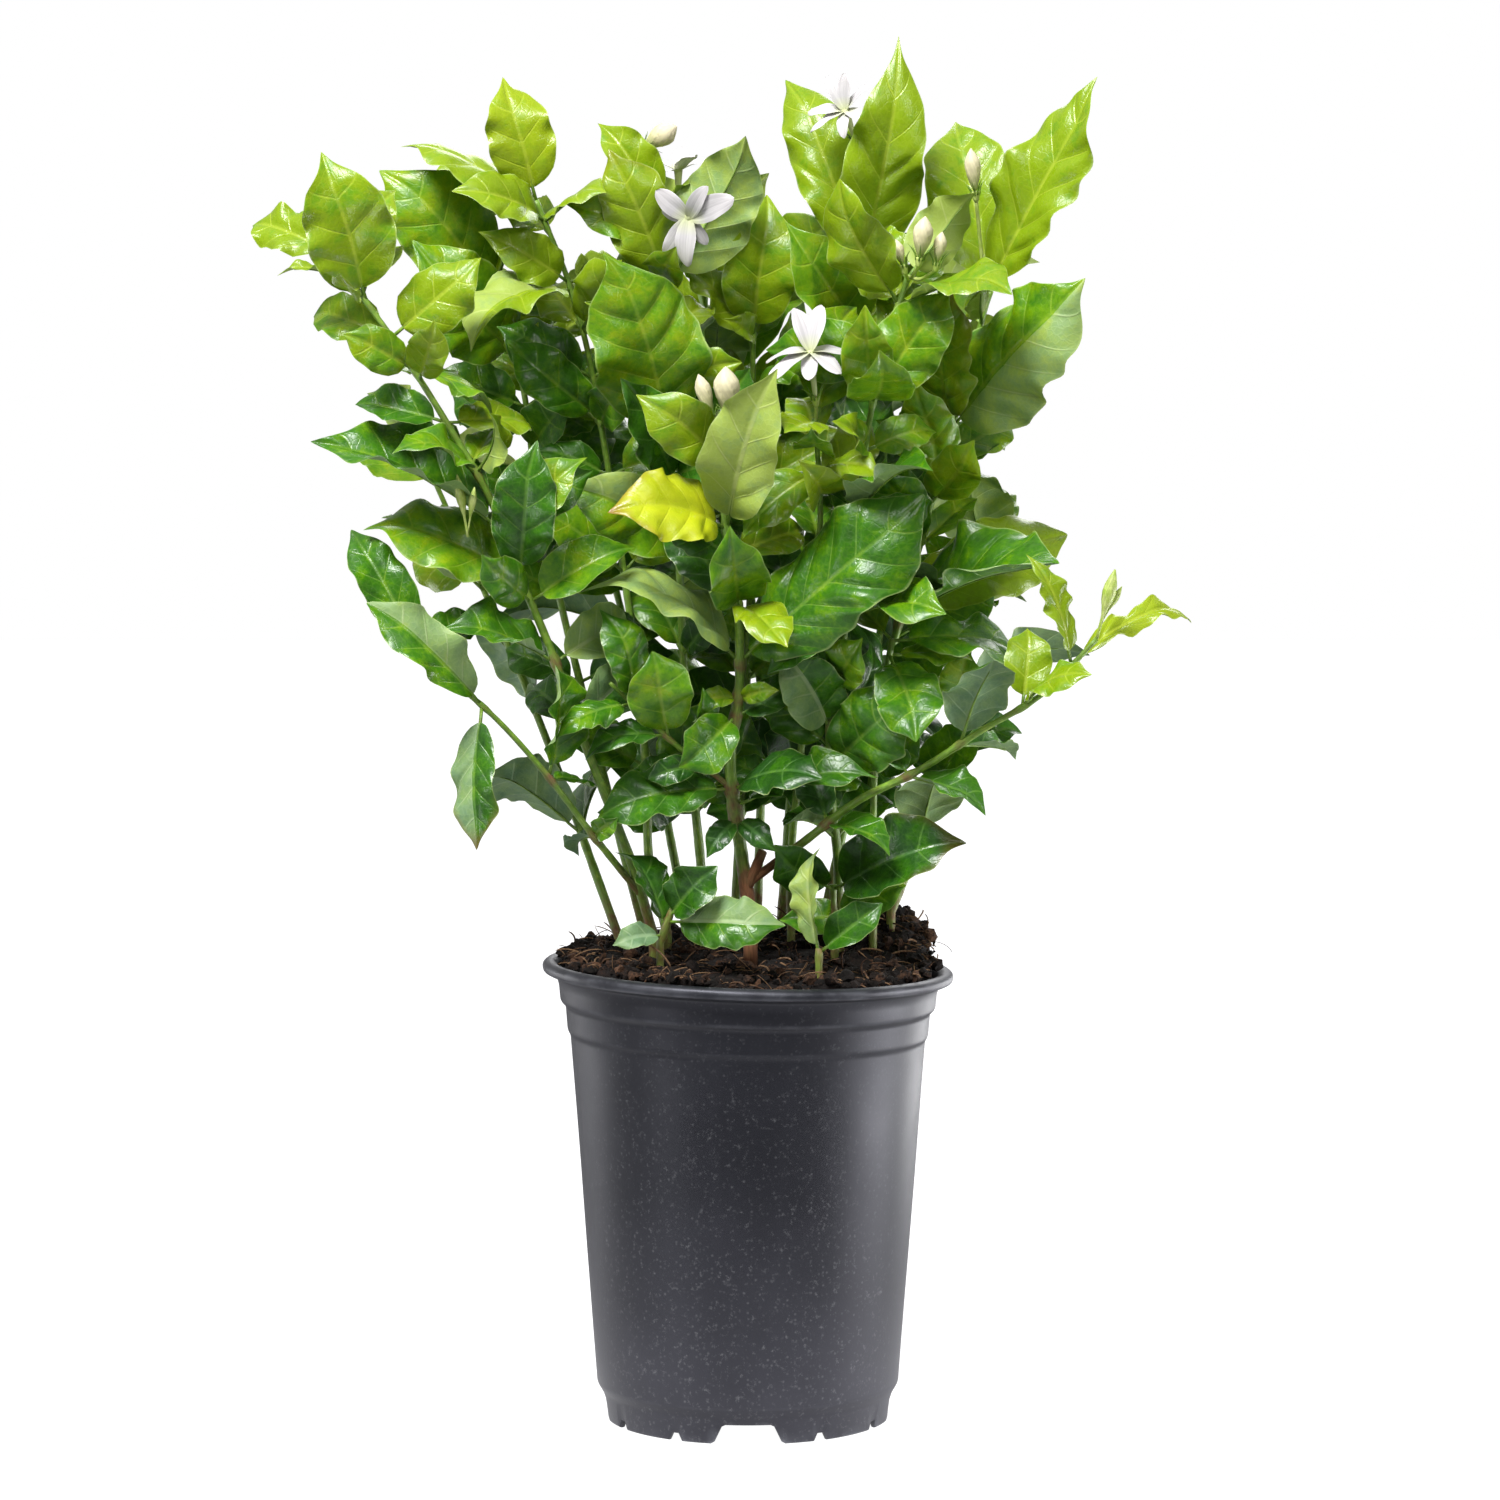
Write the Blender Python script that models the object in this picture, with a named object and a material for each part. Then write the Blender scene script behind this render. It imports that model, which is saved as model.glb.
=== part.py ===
"""Potted Arabian jasmine: a leafy, flowering shrub in a charcoal nursery pot filled with peat.

The pot's axis is Z, it stands on Z = 0, and the plant's best side faces -Y.
Sizes and places below are in millimetres. Meshes are scaled to metres as they are made.
"""
import math
import random

import bpy
from mathutils import Matrix, Vector, noise
from mathutils.bvhtree import BVHTree

METRES = 0.001

# Pot
POT_SIDES = 32
POT_WALL = 1.3
POT_SKIN = [  # radius and height down the outer side, from the top of the rim to the foot
    (84.2, 190.8), (86.0, 189.2), (85.6, 186.4), (80.2, 184.8), (79.0, 181.0), (78.4, 174.5),
    (76.2, 172.5), (75.4, 162.5), (74.2, 160.5), (63.4, 15.0), (61.0, 11.0), (60.0, 0.0),
]
POT_RIM_CREST = [(82.0, 191.0), (79.6, 189.6)]
POT_FLOOR = 9.0
POT_FOOT_WIDTH = 2.6
RIM_DROOP = 0.03
DROOP_START = 110.0
NOTCH_HEIGHT = 8.0
NOTCH_WIDTH = 20.0
SMALL_NOTCH = 4.0
SMALL_NOTCH_TURNS = (30, 60)
NOTCH_FLARE = 1.7
FLOOR_HOLE = 9.0
FLOOR_HOLE_CIRCLE = 34.0

# Soil
SOIL_GAP = 0.4
SOIL_RINGS = (22, 44, 64)
SOIL_LEVEL = 191.0
SOIL_LUMPS = 2.6
SOIL_MOUNDS = [(50, 30, 22, 27), (-25, 30, 6, 34), (8, -66, -5, 9)]  # x, y, height, spread
HOLE_DEPTH = 20.0
HOLE_GAP = 0.5
HOLE_ABOVE = 12.0
FOOT_RISE = 5.0

# Stems
STEM_SIDES = 4
STEM_STEP = 32.0
BACK_GIRTH = (4.0, 2.0)

# Leaves, each range drawn from leaf by leaf
STALK_HALF_WIDTH = 0.8
STALK_SHARE = 0.13
STALK_LONGEST = 7.0
BLADE_THICKNESS = 0.9
HALF_WIDTHS = (0.275, 0.345)
ARCHES = (0.03, 0.12)
FOLDS = (13, 38)
WAVE_HEIGHTS = (0.03, 0.065)
WAVE_COUNTS = (1.5, 2.6)
WAVE_LAG = 2.2  # how far the waves of the right edge run behind those of the left one
MOST_TWIST = 40
MOST_CURL = 0.14
TAPERS = (0.74, 0.96)
LOW_BELOW = 335.0  # leaves that start below this height are broader and blunter
LOW_WIDTH = 1.04
LOW_TAPER = 0.8
WIDEST_AT = 0.55
MOST_CHANGE = 58
CLEARANCE = 1.3
LEAF_SEED = 7
JOIN_SOLVER = "MANIFOLD"
LOWER_LEAVES = (60, (30, 47), (0, -1, 0.7))  # spacing of pairs, reach and facing
BACK_LEAVES = (60, (50, 64), (0, 0.5, 0.8))
BACK_BARE = 0.22

# Flowers
LOBE_THICKNESS = 0.8
LOBE_CUTS = ((0.0, 0.06), (0.4, 0.17), (0.74, 0.15))  # place along a lobe, and half its width there
LOBE_CUP = 0.28
LOBE_DROOP = 0.12
SEAT_GAP = 0.35
PEDICEL_RADII = (1.0, 0.9)
PEDICEL_SAG = 0.12
CALYX_LENGTH = 4.0
CALYX_RADII = (0.9, 1.9)
FLOWER_TUBE_RADII = (1.2, 2.1)
FLOWER_SIDES = 5
BUD_PROFILE = ((0.0, 0.3), (0.32, 0.62), (0.62, 1.0), (0.86, 0.66))  # height and girth, as shares
BUD_SIDES = 6

# Directions that the upper side of a leaf may face
FACING = {
    "front": (0, -1, 0.25),
    "front_up": (0, -1, 0.6),
    "up_front": (0, -1, 1),
    "up": (0, -0.5, 1),
    "front_left": (-0.7, -1, 0.3),
    "front_right": (0.7, -1, 0.3),
    "up_left": (-0.7, -0.5, 1),
    "up_right": (0.7, -0.5, 1),
    "left": (-1, -0.5, 0.3),
    "right": (1, -0.5, 0.3),
    "back": (0.1, 1, 0.3),
}

# Each shoot that rises from the soil: its diameters at the foot and the tip, the points that its
# stem grows through, and its leaves, each as distance up the stem, tip and facing. Opposite leaves
# share a distance. A width, where one is given, is a share of the blade's length. The rule adds
# lower leaves between two distances. An arm grows out of another shoot, at a distance up that one,
# and is one body with it.
SHOOTS = {
    "middle": {
        "girth": (6.0, 2.4),
        "route": [(1, -22, 213), (4, -24, 226), (-5, -27, 249), (-9, -30, 265), (-5, -35, 292),
                  (-3, -40, 319), (-4, -46, 341), (-8, -52, 368), (-11, -58, 394), (-11, -60, 411)],
        "leaves": [
            (55, (-60, -50, 266), "up_front", 0.5), (55, (34, -58, 266), "up_front", 0.62),
            (48, (57, -36, 258), "up_front", 0.4),
            (42, (-15, -40, 240), "front", 0.6), (42, (12, -36, 240), "front", 0.6),
            (86, (-27, -56, 278), "front", 0.75), (86, (19, -44, 316), "front", 0.6),
            (94, (-20, -46, 302), "front_up", 0.7), (94, (7, -50, 318), "front", 0.5),
            (109, (-50, -66, 371), "up_right"), (109, (68, -76, 386), "front_up", 0.44),
            (133, (-14, -78, 377), "front"), (133, (12, -88, 348), "up"),
            (166, (14, -72, 446), "front", 0.46), (166, (-42, -96, 392), "front_up"),
        ],
    },
    "middle_arm": {
        "grows_from": ("middle", 14),
        "girth": (4.0, 2.0),
        "route": [(21, -30, 243), (32, -34, 258), (51, -42, 265), (66, -50, 274),
                  (87, -60, 289), (112, -68, 304), (132, -72, 320), (140, -72, 331)],
        "leaves": [
            (44, (56, -60, 252), "up"), (44, (22, -15, 274), "up"),
            (86, (96, -70, 274), "up"), (86, (56, -32, 287), "front"),
            (112, (99, -88, 324), "back"), (112, (110, -40, 283), "up"),
            (143, (114, -60, 335), "front"), (143, (140, -92, 317), "up"),
            (169, (114, -82, 365), "front_right", 0.34), (169, (182, -40, 352), "up", 0.22),
        ],
    },
    "middle_stub": {
        "grows_from": ("middle", 12),
        "girth": (4.6, 4.0),
        "route": [(7, -28, 234), (6, -29, 241)],
        "leaves": [],
    },
    "middle_left_arm": {
        "grows_from": ("middle", 55),
        "girth": (2.6, 1.6),
        "route": [(-24, -36, 279), (-36, -44, 293), (-46, -48, 302), (-56, -52, 312)],
        "leaves": [
            (18, (-40, -46, 275), "up_front", 0.6), (36, (-37, -60, 324), "front", 0.8),
            (38, (-64, -58, 289), "up_front", 0.55), (58, (-55, -60, 341), "front_right", 0.6),
            (58, (-80, -62, 301), "up_front", 0.5), (26, (-17, -50, 308), "front_right", 0.7),
        ],
    },
    "left_high": {
        "girth": (4.4, 2.0),
        "route": [(-39, -18, 204), (-44, -24, 222), (-52, -32, 249), (-65, -42, 281), (-78, -50, 320),
                  (-94, -58, 360), (-108, -64, 397), (-122, -67, 419), (-134, -68, 439),
                  (-159, -70, 475), (-174, -70, 499)],
        "lower": (60, 100),
        "leaves": [
            (127, (-116, -72, 344), "up"), (127, (-48, -30, 341), "front"),
            (165, (-144, -78, 390), "up_front"), (165, (-87, -84, 408), "front"),
            (187, (-162, -82, 427), "up"), (187, (-75, -90, 399), "front"),
            (211, (-138, -95, 411), "up_front"), (211, (-101, -84, 422), "right"),
            (260, (-160, -84, 454), "front"), (260, (-100, -60, 425), "up"),
            (292, (-171, -72, 524), "front", 0.7), (304, (-187, -78, 479), "up", 0.3),
            (318, (-146, -52, 493), "front"),
        ],
    },
    "left_high_arm": {
        "grows_from": ("left_high", 20),
        "girth": (3.2, 1.8),
        "route": [(-61, -36, 245), (-81, -50, 273), (-92, -56, 288), (-107, -62, 303),
                  (-120, -66, 312), (-133, -70, 324)],
        "leaves": [
            (35, (-55, -48, 258), "front"), (35, (-72, -20, 241), "up"),
            (68, (-77, -62, 320), "right"), (68, (-61, -30, 267), "up"),
            (110, (-108, -78, 247), "front_left", 0.4), (110, (-148, -84, 347), "front_up", 0.42),
            (140, (-156, -80, 377), "front_up", 0.4), (140, (-112, -60, 346), "up"),
        ],
    },
    "left_mid": {
        "girth": (4.0, 2.0),
        "route": [(-34, 8, 203), (-41, 5, 230), (-42, 2, 260), (-45, 0, 302), (-50, -2, 343),
                  (-56, -5, 385), (-61, -8, 418), (-68, -12, 455), (-77, -15, 484), (-87, -18, 508)],
        "lower": (60, 120),
        "leaves": [
            (303, (-120, -45, 507), "up_front"), (303, (-59, -48, 514), "up"),
            (311, (-101, -25, 557), "front"), (311, (-140, -20, 534), "up"),
            (273, (-114, -62, 455), "up"), (273, (-45, 15, 484), "front_up"),
            (218, (-97, -25, 449), "front"), (218, (-33, 20, 443), "front"),
        ],
    },
    "left_back": {
        "girth": (4.0, 2.0),
        "route": [(-44, 28, 201), (-54, 26, 240), (-67, 24, 292), (-79, 22, 342), (-89, 18, 393),
                  (-95, 12, 439), (-101, 8, 460), (-109, 4, 481), (-115, 2, 493)],
        "lower": (110, 215),
        "leaves": [
            (250, (-139, -20, 490), "front"), (250, (-79, 40, 456), "up"),
            (278, (-149, -10, 522), "front"), (278, (-93, -30, 490), "front_up"),
            (302, (-125, 10, 530), "front"), (302, (-104, 20, 514), "up"),
        ],
    },
    "centre_left": {
        "girth": (4.2, 2.0),
        "route": [(-18, 12, 202), (-20, 8, 234), (-24, 2, 276), (-27, -4, 323), (-29, -14, 369),
                  (-33, -22, 414), (-31, -24, 447), (-33, -24, 473), (-36, -20, 512)],
        "lower": (60, 120),
        "leaves": [
            (215, (-54, -55, 486), "front"), (215, (-20, 10, 468), "front_left"),
            (275, (-55, -45, 526), "front"), (275, (0, -10, 532), "back"),
            (304, (-61, -10, 538), "front"), (304, (-20, 10, 518), "up"),
            (170, (-70, -60, 394), "front"), (170, (-1, -40, 398), "front_up"),
            (192, (-64, -52, 438), "front_right", 0.5), (192, (2, -6, 440), "front"),
        ],
    },
    "centre_back": {
        "girth": (4.0, 2.2),
        "route": [(-6, 35, 201), (-3, 30, 257), (0, 25, 321), (2, 20, 384), (2, 15, 418), (2, 12, 464)],
        "lower": (120, 215),
        "leaves": [
            (253, (10, -8, 507), "front"), (253, (-18, -15, 483), "front_up"),
            (262, (37, 30, 504), "front"), (262, (-8, 30, 500), "front"),
        ],
    },
    "centre_front": {
        "girth": (3.6, 2.0),
        "route": [(18, -2, 205), (18, -6, 239), (22, -14, 282), (26, -26, 324), (29, -40, 361),
                  (29, -52, 394), (27, -58, 419)],
        "lower": (60, 120),
        "leaves": [
            (201, (-1, -80, 387), "front_up"), (201, (53, -70, 399), "up"),
            (221, (14, -90, 411), "front_up"), (221, (42, -20, 467), "front"),
        ],
    },
    "right_centre": {
        "girth": (4.2, 2.0),
        "route": [(38, -5, 206), (37, -12, 240), (33, -24, 283), (37, -32, 312), (40, -40, 339),
                  (42, -45, 370), (47, -48, 396), (50, -50, 425), (55, -50, 447), (65, -46, 477)],
        "lower": (40, 80),
        "leaves": [
            (108, (21, -58, 330), "front"), (108, (44, -60, 327), "front_left"),
            (137, (74, -80, 351), "up"), (137, (8, -66, 342), "up_front"),
            (88, (21, -60, 318), "front", 0.7), (88, (48, -52, 322), "front", 0.5),
            (72, (55, -62, 301), "front", 0.75),
            (180, (70, -90, 403), "up_left"), (180, (21, -20, 398), "up"),
            (227, (45, -66, 472), "front"), (227, (83, -66, 473), "front"),
            (267, (34, -66, 512), "front_left"), (267, (100, -90, 483), "up"),
            (278, (89, -35, 510), "back"), (278, (46, -20, 502), "front"),
        ],
    },
    "top_right": {
        "girth": (4.6, 2.2),
        "route": [(48, 15, 204), (50, 12, 242), (56, 5, 301), (65, -2, 343), (75, -8, 381),
                  (84, -16, 415), (93, -22, 449), (99, -26, 471)],
        "lower": (55, 110),
        "leaves": [
            (276, (142, -55, 554), "front_left", 0.42), (276, (83, 0, 545), "front"),
            (217, (142, -60, 471), "front_up", 0.56), (217, (87, -40, 473), "front_left"),
            (195, (67, -45, 431), "front"), (195, (106, 20, 410), "up"),
            (141, (130, -10, 377), "front_up"), (141, (45, -70, 363), "front_up"),
            (132, (122, -62, 361), "up_front"), (132, (65, 40, 358), "up"),
        ],
    },
    "top_middle": {
        "girth": (4.2, 2.0),
        "route": [(14, 45, 200), (18, 42, 256), (24, 38, 320), (33, 32, 384), (41, 24, 426),
                  (47, 14, 455), (49, 4, 483), (47, 0, 499)],
        "lower": (70, 220),
        "leaves": [
            (290, (63, -40, 567), "front", 0.4), (290, (18, 20, 564), "front", 0.36),
            (260, (17, -20, 496), "front"), (260, (79, 30, 497), "front"),
        ],
    },
    "right_low": {
        "girth": (3.4, 2.0),
        "route": [(52, -8, 209), (52, -18, 261), (53, -25, 287), (56, -32, 312), (59, -36, 329)],
        "leaves": [
            (117, (70, -60, 283), "front", 0.68), (117, (91, -40, 329), "up_front"),
            (80, (76, -50, 305), "front_up"), (80, (33, -50, 305), "front"),
            (123, (115, -30, 339), "up"), (123, (38, 10, 347), "up"),
        ],
    },
    "low_right": {
        "girth": (3.4, 2.4),
        "route": [(36, -15, 204), (36, -16, 220), (35, -16, 226)],
        "leaves": [
            (20, (86, -45, 248), "front", 0.62), (20, (10, -34, 246), "front_left", 0.6),
            (8, (14, -46, 216), "front", 0.5), (8, (62, -26, 228), "front", 0.7),
        ],
    },
    "low_pale": {
        "girth": (3.0, 2.4),
        "route": [(29, -46, 196), (29, -46, 203)],
        "leaves": [(3, (24, -47, 243), "front_left", 0.36), (5, (54, -52, 222), "front_up", 0.6)],
    },
    "low_front": {
        "girth": (3.2, 2.2),
        "route": [(-36, -38, 204), (-34, -40, 212), (-31, -42, 219)],
        "leaves": [
            (6, (-36, -48, 246), "front_right", 0.8), (10, (12, -62, 214), "front", 0.55),
            (12, (-14, -54, 240), "front_left", 0.7), (4, (-54, -50, 206), "front_up", 0.6),
        ],
    },
}

# Shoots at the back, out of the way of the ones above: foot, bend and tip
BACK_SHOOTS = {
    "back_left": ((-26, 46), (-50, 50, 320), (-88, 46, 462)),
    "back_far_left": ((-54, 12), (-92, 30, 300), (-136, 34, 400)),
    "back_middle": ((4, 56), (4, 55, 320), (-22, 44, 490)),
    "back_right": ((34, 40), (54, 52, 310), (72, 48, 470)),
    "back_far_right": ((60, 10), (86, 30, 280), (100, 40, 364)),
}

# Flowers: the stem that carries each, the distance up it, the calyx, the mouth of the flower's tube,
# and the lobes round that mouth, each as turn, lean from the tube's direction, and length
BLOOMS = {
    "bloom_front": ("centre_front", 221, (27, -63, 428), (25, -69, 446), [
        (5, 92, 21), (55, 22, 19), (112, 24, 19), (172, 84, 18), (205, 100, 20), (262, 118, 14),
        (318, 104, 16)]),
    "bloom_left": ("centre_left", 300, (-20, -32, 503), (-24, -45, 500), [
        (28, 66, 22), (60, 58, 17), (140, 74, 17), (172, 88, 12), (238, 74, 18), (268, 66, 19),
        (305, 84, 13)]),
    "bloom_top": ("top_middle", 305, (44, -4, 534), (40, -10, 545), [
        (10, 50, 15), (60, 20, 15), (110, 24, 16), (165, 72, 16), (200, 86, 17), (255, 100, 13),
        (310, 88, 14)]),
    "bloom_back": ("centre_left", 290, (-29, 12, 508), (-29, 10, 521), [
        (15, 60, 16), (85, 40, 15), (160, 60, 16), (235, 75, 15), (300, 50, 16)]),
}

# Buds: the stem that carries each, the distance up it, the bud's base and tip, and its radius
BUDS = {
    "bud_middle_large": ("middle", 204, (-8, -69, 421), (-9, -73, 440), 5.2),
    "bud_middle_left": ("middle", 204, (-15, -61, 421), (-20, -61, 437), 3.2),
    "bud_middle_right": ("middle", 199, (-3, -66, 412), (0, -70, 427), 2.7),
    "bud_right_large": ("right_centre", 279, (69, -61, 484), (71, -64, 500), 4.0),
    "bud_right_small": ("right_centre", 279, (76, -58, 482), (78, -59, 494), 2.6),
    "bud_right_inner": ("right_centre", 279, (62, -60, 481), (59, -61, 491), 2.3),
    "bud_top_left": ("centre_left", 311, (-42, -20, 530), (-29, -24, 538), 4.6),
    "bud_top_right": ("top_right", 270, (92, -41, 511), (90, -44, 528), 3.2),
}


def smooth_route(points, per_span=6):
    """Points along a Catmull-Rom curve through the given ones."""
    points = [Vector(point) for point in points]
    ends = [points[0] * 2 - points[1]] + points + [points[-1] * 2 - points[-2]]
    route = [points[0]]
    for before, start, stop, after in zip(ends, ends[1:], ends[2:], ends[3:]):
        for step in range(1, per_span + 1):
            t = step / per_span
            bend = (2 * before - 5 * start + 4 * stop - after) * t * t
            ease = (3 * start - before - 3 * stop + after) * t ** 3
            route.append(0.5 * (2 * start + (stop - before) * t + bend + ease))
    return route


def route_length(route):
    return sum((b - a).length for a, b in zip(route, route[1:]))


def point_on(route, distance):
    """Place and direction at a distance along a route."""
    for a, b in zip(route, route[1:]):
        span = (b - a).length
        if distance <= span:
            return a + (b - a) * (distance / span), (b - a).normalized()
        distance -= span
    return route[-1].copy(), (route[-1] - route[-2]).normalized()


def droop(point):
    """The soft rim of the pot hangs a little towards +X, with the soil that it holds."""
    share = min(1.0, max(0.0, (point.z - DROOP_START) / (POT_SKIN[0][1] - DROOP_START)))
    return point - Vector((0, 0, RIM_DROOP * point.x * share))


def even_route(route, step):
    """The same route through fewer points, about a step apart."""
    total = route_length(route)
    spans = max(1, round(total / step))
    return [point_on(route, total * k / spans)[0] for k in range(spans + 1)]


def tube(route, radii, sides):
    """Closed tube through a route's points, its radius running evenly between the two radii."""
    rings = len(route) - 1
    side = Vector((1, 0, 0))
    verts, faces = [], []
    for ring, centre in enumerate(route):
        along = (route[min(ring + 1, rings)] - route[max(ring - 1, 0)]).normalized()
        side = (side - along * side.dot(along)).normalized()
        other = along.cross(side)
        radius = radii[0] + (radii[1] - radii[0]) * ring / rings
        for k in range(sides):
            turn = 2 * math.pi * k / sides
            verts.append(centre + (side * math.cos(turn) + other * math.sin(turn)) * radius)
    for ring in range(rings):
        for k in range(sides):
            a, b = ring * sides + k, ring * sides + (k + 1) % sides
            faces.append((a, b, b + sides, a + sides))
    faces.append(tuple(range(sides))[::-1])
    faces.append(tuple(range(rings * sides, (rings + 1) * sides)))
    return verts, faces


def plate(rows, thickness):
    """Closed plate on rows of points, split into triangles alike above and below.

    Each row runs from the left edge to the right one, and thickness points from the lower face up.
    """
    upper = [point + thickness / 2 for row in rows for point in row]
    lower = [point - thickness / 2 for row in rows for point in row]
    count = len(upper)
    starts = [sum(len(row) for row in rows[:k]) for k in range(len(rows))]
    faces = []
    for near, far, a, b in zip(rows, rows[1:], starts, starts[1:]):
        left, right = 0, 0
        while left < len(near) - 1 or right < len(far) - 1:
            if right >= len(far) - 1 or (left < len(near) - 1 and left * len(far) <= right * len(near)):
                face = (a + left, a + left + 1, b + right)
                left += 1
            else:
                face = (a + left, b + right + 1, b + right)
                right += 1
            faces.append(face)
            faces.append(tuple(k + count for k in reversed(face)))
    rim = [starts[0] + k for k in range(len(rows[0]))]
    rim += [start + len(row) - 1 for start, row in zip(starts[1:], rows[1:])]
    rim += [starts[-1] + k for k in reversed(range(len(rows[-1]) - 1))]
    rim += [start for start, row in zip(starts[-2:0:-1], rows[-2:0:-1])]
    for k, following in zip(rim, rim[1:] + rim[:1]):
        faces.append((k, k + count, following + count, following))
    return upper + lower, faces


def new_leaf(root, tip, facing, width, draw):
    """Sizes and frame of one leaf. Its width is a share of its blade's length, or drawn if None."""
    length = (tip - root).length
    along = (tip - root).normalized()
    normal = facing - along * facing.dot(along)
    if normal.length < 0.2:
        normal = along.orthogonal()
    stalk = min(STALK_LONGEST, STALK_SHARE * length)
    blade = length - stalk
    low = root.z < LOW_BELOW
    usual_width = draw.uniform(*HALF_WIDTHS) * (LOW_WIDTH if low else 1)
    return {
        "root": root, "along": along, "normal": normal.normalized(), "length": length,
        "stalk": stalk, "blade": blade,
        "half_width": blade * (width / 2 if width else usual_width),
        "arch": draw.uniform(*ARCHES),
        "fold": math.radians(draw.uniform(*FOLDS)),
        "wave": blade * draw.uniform(*WAVE_HEIGHTS),
        "waves": draw.uniform(*WAVE_COUNTS),
        "phase": draw.uniform(0, 2 * math.pi),
        "twist": math.radians(draw.uniform(-MOST_TWIST, MOST_TWIST)),
        "curl": draw.uniform(0.0, MOST_CURL),
        "taper": draw.uniform(*TAPERS) * (LOW_TAPER if low else 1),
    }


def outline(t, taper):
    """Half width of a blade at t from stalk to tip, as a share of its widest."""
    widest = WIDEST_AT / (WIDEST_AT + taper)
    return (t / widest) ** WIDEST_AT * ((1 - t) / (1 - widest)) ** taper


def blade_point(leaf, t, across):
    """Point of a leaf's middle surface: t from stalk to tip, across from edge (-1) to edge (1)."""
    run = (leaf["stalk"] + t * leaf["blade"]) / leaf["length"]
    lift = leaf["arch"] * 4 * run * (1 - run) - leaf["curl"] * max(0.0, (t - 0.6) / 0.4) ** 2
    centre = leaf["root"] + (leaf["along"] * run + leaf["normal"] * lift) * leaf["length"]
    twist = leaf["twist"] * t * t
    side = leaf["along"].cross(leaf["normal"])
    level = side * math.cos(twist) + leaf["normal"] * math.sin(twist)
    above = leaf["normal"] * math.cos(twist) - side * math.sin(twist)
    half = leaf["half_width"] * outline(t, leaf["taper"])
    fold = leaf["fold"] * (1 - 0.5 * t)
    sway = math.sin(2 * math.pi * leaf["waves"] * t + leaf["phase"] + (WAVE_LAG if across > 0 else 0.0))
    rise = abs(across) * half * math.sin(fold) + leaf["wave"] * sway * across ** 2 * 4 * t * (1 - t)
    return centre + level * (across * half * math.cos(fold)) + above * rise


def blade_cuts(leaf):
    """Where a blade is cut across its length: more often on a longer one, nearer a blunter tip."""
    if leaf["blade"] < 31:
        return (0.4,)
    if leaf["blade"] < 72:
        return (0.2, 0.73) if leaf["taper"] < LOW_TAPER * TAPERS[1] else (0.24, 0.66)
    return (0.18, 0.48, 0.78)


def leaf_solid(leaf, swell=0.0, with_stalk=True):
    """Closed plate of one leaf. With a swell it is fatter all round, to keep its neighbours off."""
    side = leaf["along"].cross(leaf["normal"]) * (STALK_HALF_WIDTH + swell)
    neck = blade_point(leaf, 0.0, 0.0)
    rows = [[leaf["root"] - side, leaf["root"] + side]] if with_stalk else []
    rows.append([neck - side, neck + side])
    for t in blade_cuts(leaf):
        row = [blade_point(leaf, t, across) for across in (-1, 0, 1)]
        spread = (row[2] - row[0]).normalized() * swell
        rows.append([row[0] - spread, row[1], row[2] + spread])
    rows.append([blade_point(leaf, 1.0, 0.0) + leaf["along"] * swell])
    return plate(rows, leaf["normal"] * (BLADE_THICKNESS + 2 * swell))


class Neighbours:
    """Every piece placed so far, so that the next one can be bent clear of it."""

    def __init__(self):
        self.pieces = []

    def add(self, owner, solid):
        verts, faces = solid
        low = [min(point[k] for point in verts) for k in range(3)]
        high = [max(point[k] for point in verts) for k in range(3)]
        self.pieces.append((owner, low, high, BVHTree.FromPolygons(verts, faces)))

    def touch(self, solid, spare=None):
        """Whether a solid runs into a piece of any owner but the one that is spared."""
        verts, faces = solid
        low = [min(point[k] for point in verts) for k in range(3)]
        high = [max(point[k] for point in verts) for k in range(3)]
        tree = None
        for owner, its_low, its_high, its_tree in self.pieces:
            if owner == spare:
                continue
            if any(low[k] > its_high[k] or high[k] < its_low[k] for k in range(3)):
                continue
            tree = tree or BVHTree.FromPolygons(verts, faces)
            if tree.overlap(its_tree):
                return True
        return False


def leaf_bends():
    """Ways to bend a leaf clear of its neighbours, the least change first."""
    bends = []
    for pitch in (0, -8, 8, -16, 16, -25, 25, -36, 36):
        for yaw in (0, -7, 7, -15, 15, -25, 25):
            for roll in (0, -14, 14, -30, 30, -50, 50):
                for size in (1.0, 0.93, 0.85, 0.76, 0.66):
                    change = 0.5 * abs(pitch) + abs(yaw) + 0.3 * abs(roll) + 90 * (1 - size)
                    if change < MOST_CHANGE:
                        bends.append((change, pitch, yaw, roll, size))
    return [bend[1:] for bend in sorted(bends)]


def grow_leaf(name, owner, root, tip, facing, width, neighbours):
    """A leaf as near as it can be to the wanted tip and facing, or None where there is no room."""
    reach = tip - root
    level = facing - reach * (facing.dot(reach) / reach.length_squared)
    if level.length < 0.2:
        level = reach.orthogonal()
    side = reach.cross(level)
    for pitch, yaw, roll, size in leaf_bends():
        turn = Matrix.Rotation(math.radians(pitch), 3, side) @ Matrix.Rotation(math.radians(yaw), 3, level)
        bent = turn @ reach * size
        faced = Matrix.Rotation(math.radians(roll), 3, bent) @ (turn @ level)
        leaf = new_leaf(root, root + bent, faced, width, random.Random(f"{LEAF_SEED} {name}"))
        if neighbours.touch(leaf_solid(leaf, CLEARANCE, with_stalk=False)):
            continue
        if neighbours.touch(leaf_solid(leaf, 0.4), spare=owner):
            continue
        neighbours.add(owner, leaf_solid(leaf))
        return leaf
    return None


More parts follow.
